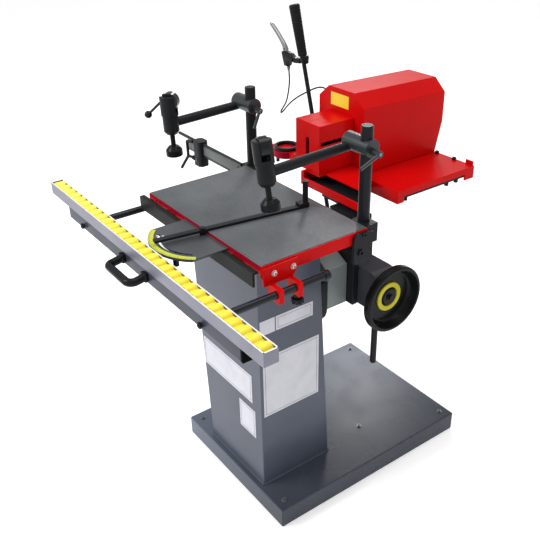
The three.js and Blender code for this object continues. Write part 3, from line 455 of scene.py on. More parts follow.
MOTOR_GREY = Paint("motor_grey", Slot.MOTOR_BODY, (0.06, 0.065, 0.075), (0.05, 0.054, 0.062),
                   (0.12, 0.12, 0.12), roughness=0.5, peel_strength=0.3)
WAY_GREY = Paint("way_block_paint", Slot.GREY_PAINT, (0.2, 0.235, 0.235), (0.15, 0.175, 0.175),
                 (0.3, 0.32, 0.32), roughness=0.3, shine=0.5)
GEAR_GREY = Paint("gear_case_paint", Slot.GREY_PAINT, (0.045, 0.053, 0.062), (0.036, 0.042, 0.05),
                  (0.12, 0.13, 0.14), roughness=0.3, shine=0.3)
ZINC = Metal("zinc_screws", Slot.BARE_STEEL, (0.2, 0.205, 0.22), (0.14, 0.145, 0.16), roughness=0.38,
             metallic=0.6)
ALLOY = Metal("polished_alloy", Slot.BRAKE_ALLOY, (0.3, 0.305, 0.31), (0.2, 0.205, 0.21), roughness=0.3,
              metallic=0.85, streak=(0.3, 1.0, 0.3), streak_strength=0.03)
LABEL_WHITE = Film("label_white", Slot.GREY_PAINT, (0.6, 0.6, 0.65), (0.52, 0.52, 0.57))
LABEL_LINE = Film("label_line", Slot.GREY_PAINT, (0.2, 0.21, 0.24), (0.17, 0.18, 0.21))
STICKER_YELLOW = Film("sticker_yellow", Slot.YELLOW_PLASTIC, (0.84, 0.6, 0.03), (0.78, 0.53, 0.025))
INK_BLACK = Moulded("ink_black", Slot.BLACK_PLASTIC, (0.02, 0.02, 0.02), (0.03, 0.03, 0.03), roughness=0.5)


class FinishRack:
    """Keeps each finish's material, so that it is made once."""

    def __init__(self) -> None:
        """Starts with no materials."""
        self.made: dict[str, bpy.types.Material] = {}

    def get(self, finish: Finish) -> bpy.types.Material:
        """Finds a finish's material and makes it at its first use.

        Args:
            finish: The finish.

        Returns:
            Its material.
        """
        if finish.name not in self.made:
            self.made[finish.name] = finish.make()
        return self.made[finish.name]


RACK = FinishRack()


def fresh() -> Mesh:
    """An empty bmesh."""
    return bmesh.new()


def extent(points: Iterable[Vector]) -> tuple[Vector, Vector]:
    """Lowest and highest corner of the box round some points."""
    columns = list(zip(*points))
    return Vector(map(min, columns)), Vector(map(max, columns))


def axes(x: Vector, y: Vector, z: Vector) -> Matrix:
    """Matrix that turns +X, +Y and +Z to three directions."""
    return Matrix((x, y, z)).transposed().to_4x4()


def facing(direction: Vector, at: Sequence[float]) -> Matrix:
    """Matrix that takes +Z to a direction and the origin to a point.

    Args:
        direction: Where +Z goes.
        at: Where the origin goes.

    Returns:
        The placing matrix.
    """
    return Matrix.Translation(at) @ direction.to_track_quat("Z", "Y").to_matrix().to_4x4()


def add_turned(bm: Mesh, profile: Profile, steps: int, matrix: Matrix) -> None:
    """Spins a profile round Z into a solid and places it.

    Args:
        bm: Mesh that takes the solid.
        profile: (radius, height) pairs from axis to axis, or a closed ring's outline.
        steps: Facets round.
        matrix: Placing matrix.
    """
    part = fresh()
    verts = [part.verts.new((r, 0, h)) for r, h in profile]
    edges = [part.edges.new(pair) for pair in zip(verts, verts[1:])]
    if min(r for r, _ in profile) > 0:
        edges.append(part.edges.new((verts[-1], verts[0])))
    bmesh.ops.spin(part, geom=verts + edges, cent=(0, 0, 0), axis=(0, 0, 1), dvec=(0, 0, 0),
                   angle=FULL_TURN, steps=steps, use_merge=True, use_duplicate=False)
    bmesh.ops.remove_doubles(part, verts=part.verts, dist=1e-6)
    bmesh.ops.recalc_face_normals(part, faces=part.faces)
    add_copy(bm, part, matrix)


def add_block(bm: Mesh, low: Sequence[float], high: Sequence[float], bevel: float,
              segments: int = 2, matrix: Matrix = Matrix()) -> None:
    """Adds a block with rounded edges between two corners.

    Args:
        bm: Mesh that takes the block.
        low: Lowest corner.
        high: Highest corner.
        bevel: Radius of the edges.
        segments: Facets across each edge.
        matrix: Placing matrix.
    """
    low, high = Vector(low), Vector(high)
    part = fresh()
    bmesh.ops.create_cube(part, size=1.0)
    bmesh.ops.scale(part, verts=part.verts, vec=high - low)
    bmesh.ops.translate(part, verts=part.verts, vec=(low + high) / 2)
    bmesh.ops.bevel(part, geom=part.edges[:], offset=bevel, segments=segments, affect="EDGES",
                    profile=0.5, material=-1)
    add_copy(bm, part, matrix)


def add_slab(bm: Mesh, outline: Sequence[Vector], depth: Vector, bevel: float,
             segments: int) -> None:
    """Extrudes a flat outline into a slab with rounded rims.

    Args:
        bm: Mesh that takes the slab.
        outline: Corners of the flat face in order.
        depth: Extrusion.
        bevel: Radius of the rims.
        segments: Facets across each rim.
    """
    part = fresh()
    face = part.faces.new([part.verts.new(p) for p in outline])
    made = bmesh.ops.extrude_face_region(part, geom=[face], use_keep_orig=True)
    moved = [g for g in made["geom"] if isinstance(g, bmesh.types.BMVert)]
    bmesh.ops.translate(part, verts=moved, vec=depth)
    bmesh.ops.recalc_face_normals(part, faces=part.faces)
    ahead = depth.normalized()
    rims = [e for e in part.edges if abs((e.verts[1].co - e.verts[0].co).normalized().dot(ahead)) < 0.5]
    bmesh.ops.bevel(part, geom=rims, offset=bevel, segments=segments, affect="EDGES",
                    profile=0.5, material=-1)
    add_copy(bm, part, Matrix())


def add_disc(bm: Mesh, radius: float, thick: float, steps: int, matrix: Matrix) -> None:
    """Adds a flat round disc that stands on its placing point.

    Args:
        bm: Mesh that takes the disc.
        radius: Radius of the disc.
        thick: Its thickness.
        steps: Facets round.
        matrix: Placing matrix.
    """
    add_turned(bm, [(0, 0), (radius, 0), (radius, thick), (0, thick)], steps, matrix)


def add_tube(bm: Mesh, points: Sequence[Vector], radius: float, sides: int) -> None:
    """Sweeps a round section along a smooth line of points and caps its ends.

    Args:
        bm: Mesh that takes the tube.
        points: Centre line.
        radius: Radius of the tube.
        sides: Facets round.
    """
    part = fresh()
    rings = []
    side = Z_AXIS.cross(points[1] - points[0])
    side = (side if side.length > 1e-9 else X_AXIS).normalized()
    for i, point in enumerate(points):
        ahead = (points[min(i + 1, len(points) - 1)] - points[max(i - 1, 0)]).normalized()
        side = (side - ahead * side.dot(ahead)).normalized()
        place = Matrix.Translation(point) @ axes(side, ahead.cross(side), ahead)
        ring = bmesh.ops.create_circle(part, cap_ends=i in (0, len(points) - 1), segments=sides,
                                       radius=radius, matrix=place)
        rings.append(ring["verts"])
    for first, second in zip(rings, rings[1:]):
        edges = {e for v in first + second for e in v.link_edges
                 if all(w in first for w in e.verts) or all(w in second for w in e.verts)}
        bmesh.ops.bridge_loops(part, edges=list(edges))
    bmesh.ops.recalc_face_normals(part, faces=part.faces)
    add_copy(bm, part, Matrix())


def add_copy(bm: Mesh, part: Mesh, matrix: Matrix) -> None:
    """Moves a part's mesh into another and frees the part.

    Args:
        bm: Mesh that takes the part.
        part: The part, which is freed.
        matrix: Placing matrix.
    """
    part.transform(matrix)
    holder = bpy.data.meshes.new("part")
    part.to_mesh(holder)
    part.free()
    bm.from_mesh(holder)
    bpy.data.meshes.remove(holder)


def make_object(name: str, bm: Mesh, finish: Finish, smooth_angle: float) -> Item:
    """Turns a bmesh into a named object with its finish.

    Args:
        name: Name of the object.
        bm: Its mesh, which is freed.
        finish: Finish of its surface.
        smooth_angle: Edges flatter than this are shaded smooth, in degrees.

    Returns:
        The new object.
    """
    limit = math.radians(smooth_angle)
    for edge in bm.edges:
        edge.smooth = len(edge.link_faces) == 2 and edge.calc_face_angle(0.0) < limit
    for face in bm.faces:
        face.smooth = True
    mesh = bpy.data.meshes.new(name)
    bm.to_mesh(mesh)
    bm.free()
    mesh.materials.append(RACK.get(finish))
    made = bpy.data.objects.new(name, mesh)
    bpy.context.scene.collection.objects.link(made)
    log.info("made %s: %d faces", name, len(mesh.polygons))
    return made


def make_piece(name: str, bm: Mesh, finish: Finish, body: str,
               smooth_angle: float = 38.0) -> Item:
    """Turns a bmesh into a named piece that rides on a body.

    Args:
        name: Name of the piece.
        bm: Its mesh, which is freed.
        finish: Finish of its surface.
        body: Body that it moves with.
        smooth_angle: Edges flatter than this are shaded smooth, in degrees.

    Returns:
        The new object.
    """
    piece = make_object(name, bm, finish, smooth_angle)
    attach(piece, body)
    log.info("piece %s rides on %s", name, body)
    return piece


def make_turned(name: str, profile: Profile, steps: int, matrix: Matrix, finish: Finish,
                body: str) -> Item:
    """Makes a piece by spinning one profile.

    Args:
        name: Name of the piece.
        profile: (radius, height) pairs, as for add_turned.
        steps: Facets round.
        matrix: Placing matrix.
        finish: Finish of its surface.
        body: Body that it moves with.

    Returns:
        The new object.
    """
    bm = fresh()
    add_turned(bm, profile, steps, matrix)
    return make_piece(name, bm, finish, body)


def make_block(name: str, low: Sequence[float], high: Sequence[float], bevel: float, finish: Finish,
               body: str, segments: int = 2) -> None:
    """Makes a piece of one block with rounded edges.

    Args:
        name: Name of the piece.
        low: Lowest corner.
        high: Highest corner.
        bevel: Radius of the edges.
        finish: Finish of its surface.
        body: Body that it moves with.
        segments: Facets across each edge.
    """
    bm = fresh()
    add_block(bm, low, high, bevel, segments)
    make_piece(name, bm, finish, body)


@dataclass(frozen=True)
class CapScrew:
    """A screw head with a hexagon socket."""

    radius: float = 0.0045
    height: float = 0.004
    domed: bool = False

    def add_to(self, bm: Mesh, foot: Sequence[float], out: Vector) -> None:
        """Adds the head with its seat on a point.

        Args:
            bm: Mesh that takes the head.
            foot: Middle of the head's seat.
            out: Direction that the head points in.
        """
        r, h, socket = self.radius, self.height, self.radius * 0.48
        side_top, turn, shoulder = (0.35, 0.93, 0.45) if self.domed else (0.8, 0.97, 0.86)
        profile = [(0, 0), (r, 0), (r, h * side_top), (r * turn, h * 0.7),
                   (r * shoulder + socket * 0.3, h), (socket, h), (socket * 0.96, h * 0.35), (0, h * 0.3)]
        add_turned(bm, profile, 18, facing(out, foot))

    def make_heads(self, name: str, seats: Iterable[Sequence[float]], out: Vector, finish: Finish,
                   body: str) -> None:
        """Makes one piece of equal heads.

        Args:
            name: Name of the piece.
            seats: Middle of each head's seat.
            out: Direction that the heads point in.
            finish: Finish of their surface.
            body: Body that they move with.
        """
        bm = fresh()
        for seat in seats:
            self.add_to(bm, seat, out)
        make_piece(name, bm, finish, body)


@dataclass
class SubAssembly:
    """What each sub-assembly shares: the frame's nodes and how they are dressed."""

    nodes: dict[str, Item]

    def build(self) -> None:
        """Dresses the nodes and adds the further pieces; each sub-assembly says how."""
        raise NotImplementedError

    def dress(self, node: str, finish: Finish, edge: float, angle: float = 30.0, segments: int = 2,
              flatten: bool = True) -> None:
        """Gives a node its finish, rounded edges and smooth shading.

        Args:
            node: Name of the node.
            finish: Finish of its surface.
            edge: Radius of its edges.
            angle: Edges sharper than this are rounded, in degrees.
            segments: Facets across each rounded edge.
            flatten: Joins the triangles of each flat face first.
        """
        item = self.nodes[node]
        mesh = item.data
        if "custom_normal" in mesh.attributes:
            mesh.attributes.remove(mesh.attributes["custom_normal"])
        mesh.materials.clear()
        mesh.materials.append(RACK.get(finish))
        for polygon in mesh.polygons:
            polygon.use_smooth = True
        weld = item.modifiers.new("weld", "WELD")
        weld.merge_threshold = 1e-6
        if flatten:
            flat = item.modifiers.new("flat_faces", "DECIMATE")
            flat.decimate_type = "DISSOLVE"
            flat.angle_limit = math.radians(0.6)
        bevel = item.modifiers.new("edges", "BEVEL")
        bevel.width = edge
        bevel.segments = segments
        bevel.limit_method = "ANGLE"
        bevel.angle_limit = math.radians(angle)
        bevel.use_clamp_overlap = True
        normals = item.modifiers.new("normals", "WEIGHTED_NORMAL")
        normals.keep_sharp = False
        normals.weight = 90
        log.info("node %s wears %s", node, finish.name)

    def dress_all(self, names: Iterable[str], finish: Finish, edge: float) -> None:
        """Dresses several nodes alike."""
        for name in names:
            self.dress(name, finish, edge)


@dataclass
class Pedestal(SubAssembly):
    """Folded base and welded column with their bolts, weld and bare labels."""

    bolt: CapScrew = CapScrew(0.0048, 0.005)
    bolt_inset: tuple[float, float] = (0.03, 0.028)
    bolt_lift: float = 0.001
    washer: tuple[float, float] = (0.00816, 0.0012)
    extra_bolt: tuple[float, float] = (0.11, 0.058)
    label_thick: float = 0.0004
    label_border: float = 0.006
    label_line: float = 0.0012
    bare_width: float = 0.06
    weld_radius: float = 0.0035
    front_labels: tuple[tuple[str, float, float, float, float], ...] = (
        ("label_front", -0.146, 0.091, 0.322, 0.412),
        ("label_small", 0.027, 0.102, 0.208, 0.3),
    )
    right_labels: tuple[tuple[str, float, float, float, float], ...] = (
        ("label_strip_a", -0.311, -0.265, 0.556, 0.598),
        ("label_strip_b", -0.262, -0.145, 0.556, 0.598),
        ("label_right", -0.305, -0.124, 0.297, 0.487),
    )

    def build(self) -> None:
        """Dresses the nodes and adds bolts, weld bead and labels."""
        # The base's paint darkens towards the right as painted shade.
        self.dress("base_tray", BASE_SLATE_PAINTED_SHADE, 0.003)
        self.dress("column", SLATE, 0.004, segments=3)
        self.add_bolts()
        self.add_weld()
        self.add_labels()

    def add_bolts(self) -> None:
        """Levelling bolts near the base's corners and one behind the column."""
        low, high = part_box("base_tray")
        dx, dy = self.bolt_inset
        places = [(x, y) for x in (low.x + dx, high.x - dx) for y in (low.y + dy, high.y - dy)]
        bm = fresh()
        for x, y in [*places, self.extra_bolt]:
            top = Vector((x, y, high.z - PROUD))
            add_disc(bm, *self.washer, 20, facing(Z_AXIS, top))
            self.bolt.add_to(bm, top + Z_AXIS * self.bolt_lift, Z_AXIS)
        make_piece("base_bolts", bm, ZINC, "frame")

    def add_weld(self) -> None:
        """A bead of weld where the column stands on the base."""
        points = [v.co for v in self.nodes["column"].data.vertices]
        foot = min(p.z for p in points)
        low, high = extent(p for p in points if p.z < foot + PROUD)
        r = self.weld_radius
        corners = [Vector((x, y, 0)) for x, y in ((low.x, low.y), (high.x, low.y), (high.x, high.y),
                                                  (low.x, high.y))]
        bm = fresh()
        for a, b in zip(corners, corners[1:] + corners[:1]):
            lift = Vector((0, 0, foot + r * 0.3))
            count = max(2, round((b - a).length / (r * 1.6)))
            line = [a + lift + (b - a) * i / count for i in range(count + 1)]
            wavy = [p + Vector((0, 0, r * 0.12 * (i % 2))) for i, p in enumerate(line)]
            add_tube(bm, wavy, r, 8)
        make_piece("column_weld", bm, SLATE, "frame", 60.0)

    def add_labels(self) -> None:
        """Bare labels on the column's front and right faces."""
        low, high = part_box("column")
        front, right = low.y, high.x
        for name, x0, x1, z0, z1 in self.front_labels:
            self.add_label(name, Vector((x0, front, z0)), Vector((x1, front, z1)), -Y_AXIS)
        for name, y0, y1, z0, z1 in self.right_labels:
            self.add_label(name, Vector((right, y0, z0)), Vector((right, y1, z1)), X_AXIS)

    def add_label(self, name: str, low: Vector, high: Vector, out: Vector) -> None:
        """One bare label: white film, with a thin grey frame line on all but the narrow one.

        Args:
            name: Name of the label.
            low: Lowest corner on the face.
            high: Highest corner on the face.
            out: Outward direction of the face.
        """
        spread = out * self.label_thick
        make_block(name, *extent((low, high, low + spread, high + spread)), self.label_thick * 0.3,
                   LABEL_WHITE, "frame", 1)
        along = Vector((high.x - low.x, high.y - low.y, 0)).normalized()
        border, line = self.label_border, self.label_line
        if (high - low).dot(along) < self.bare_width:
            return
        inset = along * border + Z_AXIS * border
        first, last = low + inset, high - inset
        a, b = first.dot(along), last.dot(along)
        face = first - along * a - Z_AXIS * first.z + spread
        frame = fresh()
        for s0, s1, z0, z1 in ((a, b, first.z, first.z + line), (a, b, last.z - line, last.z),
                               (a, a + line, first.z, last.z), (b - line, b, first.z, last.z)):
            p = face + along * s0 + Z_AXIS * z0
            q = face + along * s1 + Z_AXIS * z1 + out * PROUD
            add_block(frame, *extent((p, q)), PROUD * 0.2, 1)
        make_piece(f"{name}_line", frame, LABEL_LINE, "frame")


@dataclass
class WorkTable(SubAssembly):
    """Red frame with its ground plate, front angle bar, brackets and star knobs."""

    screw: CapScrew = CapScrew(0.0056, 0.0045, True)
    washer: tuple[float, float] = (0.007, 0.0012)
    lip_inset: float = 0.005
    face_inset: float = 0.004
    bracket_thick: float = 0.0053
    bolt_rows: tuple[float, float] = (-0.3564, -0.3054)
    bolt_height: float = 0.8124
    cheek_thick: float = 0.0083
    cheek_radii: tuple[float, float] = (0.0082, 0.0062)

    def build(self) -> None:
        """Dresses the table and adds the screws of its brackets, its edge strips and the painted shade on
        its front face.
        """
        self.dress("table_frame", SIGNAL_RED, 0.0012)
        self.dress("table_top", GROUND_STEEL, 0.0008)
        self.dress("front_rail", OLIVE_BLACK, 0.0012)
        self.dress_all(["bracket_right", "bracket_left"], SIGNAL_RED, 0.0012)
        self.dress_all(["star_knob_right", "star_knob_left"], BLACK_PLASTIC, 0.0012)
        self.dress_all(["post_bracket_right", "post_bracket_left"], SATIN_BLACK, 0.0016)
        self.add_bracket_screws()
        self.add_cheek_screws()
        self.add_lip()

    def add_lip(self) -> None:
        """Ground edge strips on the left and front rims, and a crimson strip on the front face below the
        front one, which is painted shade.
        """
        low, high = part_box("table_frame")
        top_low, top_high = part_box("table_top")
        bm = fresh()
        add_block(bm, (low.x - PROUD, low.y + self.lip_inset, high.z - PROUD),
                  (top_low.x - PROUD, high.y, top_high.z - PROUD), PROUD, 1)
        add_block(bm, (low.x - PROUD, low.y - PROUD, high.z - PROUD),
                  (high.x - self.face_inset, top_low.y - PROUD, top_high.z - PROUD), PROUD, 1)
        make_piece("table_lip", bm, GROUND_STEEL, "frame")
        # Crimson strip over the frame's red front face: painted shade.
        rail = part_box("front_rail")[1]
        make_block("table_face", (low.x + self.face_inset, low.y - 2 * PROUD, rail.z + 3 * PROUD),
                   (rail.x - 5 * PROUD, low.y + PROUD, high.z - 2 * PROUD), PROUD, CRIMSON, "frame", 1)

    def add_bracket_screws(self) -> None:
        """Domed bright screws over the bolts that hold the red brackets."""
        for side in Side:
            low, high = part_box("table_frame")
            face = (high.x if side is Side.RIGHT else low.x) + side.value * self.bracket_thick
            bm = fresh()
            for y in self.bolt_rows:
                seat = Vector((face, y, self.bolt_height))
                out = X_AXIS * side.value
                add_disc(bm, *self.washer, 24, facing(out, seat))
                self.screw.add_to(bm, seat + out * self.washer[1], out)
            make_piece(f"bracket_screws_{side.word}", bm, BRIGHT, "frame")

    def add_cheek_screws(self) -> None:
        """Black cap screws on the outer cheeks of the post brackets."""
        for side in Side:
            low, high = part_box(f"post_bracket_{side.word}")
            left_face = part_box("table_frame")[0].x - self.cheek_thick
            face = (high.x if side is Side.RIGHT else left_face) - side.value * PROUD
            bm = fresh()
            places = ((low.y + 0.02, low.z + 0.03), (low.y + 0.03, high.z - 0.0085))
            for radius, (y, z) in zip(self.cheek_radii, places):
                CapScrew(radius, radius * 0.6).add_to(bm, (face, y, z), X_AXIS * side.value)
            make_piece(f"cheek_screws_{side.word}", bm, BLACKENED, "frame")


@dataclass
class AngleFence(SubAssembly):
    """Protractor plate with its scale, and the fence that turns on it."""

    centre: tuple[float, float] = (0.034, -0.394)
    scale_radii: tuple[float, float] = (0.1135, 0.1262)
    scale_turn: tuple[float, float] = (222.5, 321.5)
    scale_steps: int = 48
    tick_count: int = 50
    tick_long: float = 0.0085
    tick_short: float = 0.005
    tick_wide: float = 0.0006
    washer_radius: float = 0.016
    washer_thick: float = 0.003
    washer_rim: float = 0.0006
    screw: CapScrew = CapScrew(0.0034, 0.0016, True)
    screw_places: tuple[tuple[float, float], ...] = ((-0.0225, -0.4815), (-0.013, -0.4725))
    screw_drop: float = 0.0012
    top: float = field(init=False, default=0.0)

    def build(self) -> None:
        """Dresses the nodes and adds the scale with its marks, the screws and the washer that paints shade
        into the slot.
        """
        self.dress("protractor_plate", PROTRACTOR_STEEL, 0.0003, flatten=False)
        self.dress("fence_bar", BLACKENED, 0.0009)
        self.dress("fence_lock", BLACK_PLASTIC, 0.001)
        self.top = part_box("protractor_plate")[1].z
        self.add_scale()
        self.add_marks()
        self.add_screws()
        self.add_washer()

    def arc_point(self, radius: float, degrees: float, z: float) -> Vector:
        """A point on a circle about the fence's pivot.

        Args:
            radius: Radius of the circle.
            degrees: Angle from +X.
            z: Height.

        Returns:
            The point.
        """
        turn = math.radians(degrees)
        x, y = self.centre
        return Vector((x + radius * math.cos(turn), y + radius * math.sin(turn), z))

    def add_scale(self) -> None:
        """Yellow band along the plate's round edge."""
        r0, r1 = self.scale_radii
        a0, a1 = self.scale_turn
        bm = fresh()
        inner, outer = self.arc_point(r0, a0, self.top), self.arc_point(r1, a0, self.top)
        edge = bm.edges.new((bm.verts.new(inner), bm.verts.new(outer)))
        bmesh.ops.spin(bm, geom=[*edge.verts, edge], cent=(*self.centre, 0), axis=(0, 0, 1),
                       dvec=(0, 0, 0), angle=math.radians(a1 - a0), steps=self.scale_steps,
                       use_merge=False, use_duplicate=False)
        made = bmesh.ops.extrude_face_region(bm, geom=bm.faces[:], use_keep_orig=True)
        moved = [g for g in made["geom"] if isinstance(g, bmesh.types.BMVert)]
        bmesh.ops.translate(bm, verts=moved, vec=(0, 0, PROUD * 1.5))
        bmesh.ops.recalc_face_normals(bm, faces=bm.faces)
        make_piece("scale_band", bm, SCALE_YELLOW, "frame")

    def add_marks(self) -> None:
        """Black degree marks across the band, longer at every fifth."""
        a0, a1 = self.scale_turn
        bm = fresh()
        for i in range(1, self.tick_count):
            turn = a0 + (a1 - a0) * i / self.tick_count
            length = self.tick_long if i % 5 == 0 else self.tick_short
            out = (self.arc_point(1, turn, 0) - self.arc_point(0, turn, 0)).normalized()
            foot = self.arc_point(self.scale_radii[1] - length, turn, self.top + PROUD * 1.5)
            matrix = Matrix.Translation(foot) @ axes(out, Z_AXIS.cross(out), Z_AXIS)
            half = self.tick_wide / 2
            add_block(bm, (0, -half, 0), (length - self.tick_wide, half, PROUD * 0.6),
                      PROUD * 0.1, 1, matrix)
        make_piece("scale_marks", bm, INK_BLACK, "frame")

    def add_washer(self) -> None:
        """Broad washer of the fence's lock, under the plate's curved slot; its dark face is painted shade
        seen through the slot.
        """
        low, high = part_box("fence_lock")
        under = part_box("protractor_plate")[0].z - PROUD * 2
        r, thick, rim = self.washer_radius, self.washer_thick, self.washer_rim
        profile = [(0, -thick), (r * 0.96, -thick), (r, rim - thick), (r, -rim), (r * 0.96, 0), (0, 0)]
        place = facing(Z_AXIS, ((low.x + high.x) / 2, (low.y + high.y) / 2, under))
        # A washer under the lock, made broad and dark so that the slot shows painted shade.
        make_turned("lock_washer", profile, 40, place, BLACKENED, "fence_lock")

    def add_screws(self) -> None:
        """Two bright screws in the plate."""
        seats = [(x, y, self.top - self.screw_drop - PROUD) for x, y in self.screw_places]
        self.screw.make_heads("protractor_screws", seats, Z_AXIS, BRIGHT, "frame")


@dataclass
class RollerRail(SubAssembly):
    """The roller rail in front of the table with its beam, bars and pull handle."""

    roller_count: int = 30
    roller_radius: float = 0.0135
    roller_half: float = 0.0134
    roller_bore: float = 0.0042
    axle_radii: tuple[float, float] = (0.003, 0.0034)
    axle_tip: float = 0.0012
    channel_wall: float = 0.003
    bolt_sink: float = 0.0035
    bed_height: float = 0.0062
    end_margin: float = 0.006
    rim: float = 0.0022
    handle_radius: float = 0.0098
    handle_foot: float = 0.011
    handle_sink: float = 0.002
    bend_steps: int = 6
    bolt: CapScrew = CapScrew(0.0075, 0.0055, True)

    def build(self) -> None:
        """Dresses the rail and adds its rollers, its bolts and the moulded handle."""
        self.dress("rail_channel", ANODISED, 0.0009)
        self.dress("rail_beam", BEAM_GREY, 0.0012)
        self.dress("beam_plug", DEEP_BLACK, 0.0012)
        self.dress_all(["support_bar_right", "support_bar_left"], BLACK_BAR, 0.001)
        self.add_rollers()
        self.add_beam_bolts()
        self.add_handle()

    def add_rollers(self) -> None:
        """Rollers, each a drum with rounded rims and a hub, their carrier, darker yellow as painted shade
        between them, their axles, and near-white strips on the channel's wall tops that are painted
        highlights.
        """
        low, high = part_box("rail_channel")
        middle, top = (low.y + high.y) / 2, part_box("roller_strip")[1].z
        span = (high.x - low.x - 2 * self.end_margin) / self.roller_count
        r, half, rim = self.roller_radius, self.roller_half, self.rim
        face = [(self.roller_bore, half), (r * 0.55, half), (r * 0.6, half - rim * 0.5),
                (r * 0.8, half - rim * 0.5), (r * 0.86, half), (r - rim * 0.5, half), (r, half - rim)]
        drum = [(radius, -height) for radius, height in face] + face[::-1]
        tip, (r0, r1) = half + self.axle_tip, self.axle_radii
        axle = [(0, -tip), (r0, -tip), (r1, -half), (r1, half), (r0, tip), (0, tip)]
        rollers, axles = fresh(), fresh()
        for i in range(self.roller_count):
            place = facing(Y_AXIS, (low.x + self.end_margin + span * (i + 0.5), middle, top - r))
            add_turned(rollers, drum, 28, place)
            add_turned(axles, axle, 12, place)
        drums = make_piece("roller_drums", rollers, ROLLER_YELLOW, "rail_carriage")
        z = top - r
        # The carrier's darker yellow shows between the rollers as painted shade.
        make_block("roller_carrier", (low.x + self.end_margin, middle - half, z - r * 0.6),
                   (high.x - self.end_margin, middle + half, z + self.bed_height), 0.001,
                   CARRIER_SHADE_YELLOW, "rail_carriage")
        # Near-white strips along the channel's top rims paint its highlight.
        edges, wall = fresh(), self.channel_wall
        spans = [((low.x, high.x), (y, y + wall)) for y in (low.y, high.y - wall)]
        spans += [((x, x + wall), (low.y, high.y)) for x in (low.x, high.x - wall)]
        for (x0, x1), (y0, y1) in spans:
            add_block(edges, (x0, y0, high.z - PROUD), (x1, y1, high.z + PROUD), PROUD * 0.5, 1)
        make_piece("rail_edges", edges, RAIL_EDGE_HIGHLIGHT, "rail_carriage")
        make_piece("roller_axles", axles, TURNED, "rail_carriage")
        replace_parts(drums, "roller_strip")

    def add_beam_bolts(self) -> None:
        """Black bolts through the beam into the support bars."""
        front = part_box("rail_beam")[0].y + self.bolt_sink
        centres = [sum(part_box(f"support_bar_{side.word}"), Vector()) / 2 for side in Side]
        seats = [(centre.x, front, centre.z) for centre in centres]
        self.bolt.make_heads("beam_bolts", seats, -Y_AXIS, BLACKENED, "rail_carriage")

    def add_handle(self) -> None:
        """Moulded pull handle: two square feet and a bow with round bends."""
        low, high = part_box("rail_handle")
        r, foot = self.handle_radius, self.handle_foot
        x0, x1, front = low.x + foot, high.x - foot, low.y + r
        z, base = (low.z + high.z) / 2, high.y
        near, shoulder = base - self.handle_sink, front + r * 2.2
        bow = [Vector((x0, near, z)), Vector((x0, shoulder, z - r * 0.4))]
        bend = r * 1.6
        for inner, start in ((x0 + bend, 180), (x1 - bend, 270)):
            for k in range(self.bend_steps + 1):
                turn = math.radians(start + 90 * k / self.bend_steps)
                x, y = inner + bend * math.cos(turn), front + bend * (1 + math.sin(turn))
                bow.append(Vector((x, y, z - r * 0.5)))
        bow += [Vector((x1, shoulder, z - r * 0.4)), Vector((x1, near, z))]
        bm = fresh()
        add_tube(bm, bow, r, 20)
        for x in (x0, x1):
            add_block(bm, (x - foot, base - r, z - foot), (x + foot, base, z + foot), 0.003, 3)
        handle = make_piece("pull_handle", bm, BLACK_PLASTIC, "rail_carriage", 60.0)
        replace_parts(handle, "rail_handle")


@dataclass
class HoldDown(SubAssembly):
    """One clamp on its post: cross head, arm, plunger, cam lever and ratchet handle."""

    side: Side = Side.RIGHT
    grub: CapScrew = CapScrew(0.004, 0.002)
    cap: CapScrew = CapScrew(0.0048, 0.0022, True)
    hub_drop: float = 0.0063

    def build(self) -> None:
        """Dresses the clamp's nodes and adds its small parts."""
        word = self.side.word
        self.dress(f"clamp_post_{word}", BLACKENED, 0.0015)
        # The cross head's charcoal colour carries a painted sheen.
        self.dress(f"cross_head_{word}", CAST_PAINTED_SHEEN, 0.0018)
        self.dress(f"clamp_arm_{word}", BLACKENED, 0.0014)
        self.dress(f"plunger_{word}", BLACK_PLASTIC, 0.0016)
        self.dress(f"cam_lever_{word}", GLOSS_BLACK, 0.0014)
        self.dress(f"ratchet_{word}", CAST_PAINTED_SHEEN, 0.001)
        self.add_grub_screw()
        self.add_hub_cap()

    def add_grub_screw(self) -> None:
        """Grub screw in the cross head's end."""
        word = self.side.word
        low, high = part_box(f"cross_head_{word}")
        seat = (low.x + PROUD, (low.y + high.y) / 2, (low.z + high.z) / 2)
        self.grub.make_heads(f"cross_head_screw_{word}", [seat], -X_AXIS, TURNED, f"arm_{word}")

    def add_hub_cap(self) -> None:
        """Bright screw in the hub of the ratchet handle."""
        word = self.side.word
        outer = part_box(f"ratchet_{word}")[1].x
        post_low, post_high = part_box(f"clamp_post_{word}")
        head_low, head_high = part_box(f"cross_head_{word}")
        y = (post_low.y + post_high.y) / 2
        z = (head_low.z + head_high.z) / 2 - self.hub_drop
        seat = (outer - self.cap.height + PROUD / 2, y, z)
        self.cap.make_heads(f"ratchet_screw_{word}", [seat], X_AXIS, BRIGHT, f"ratchet_{word}")


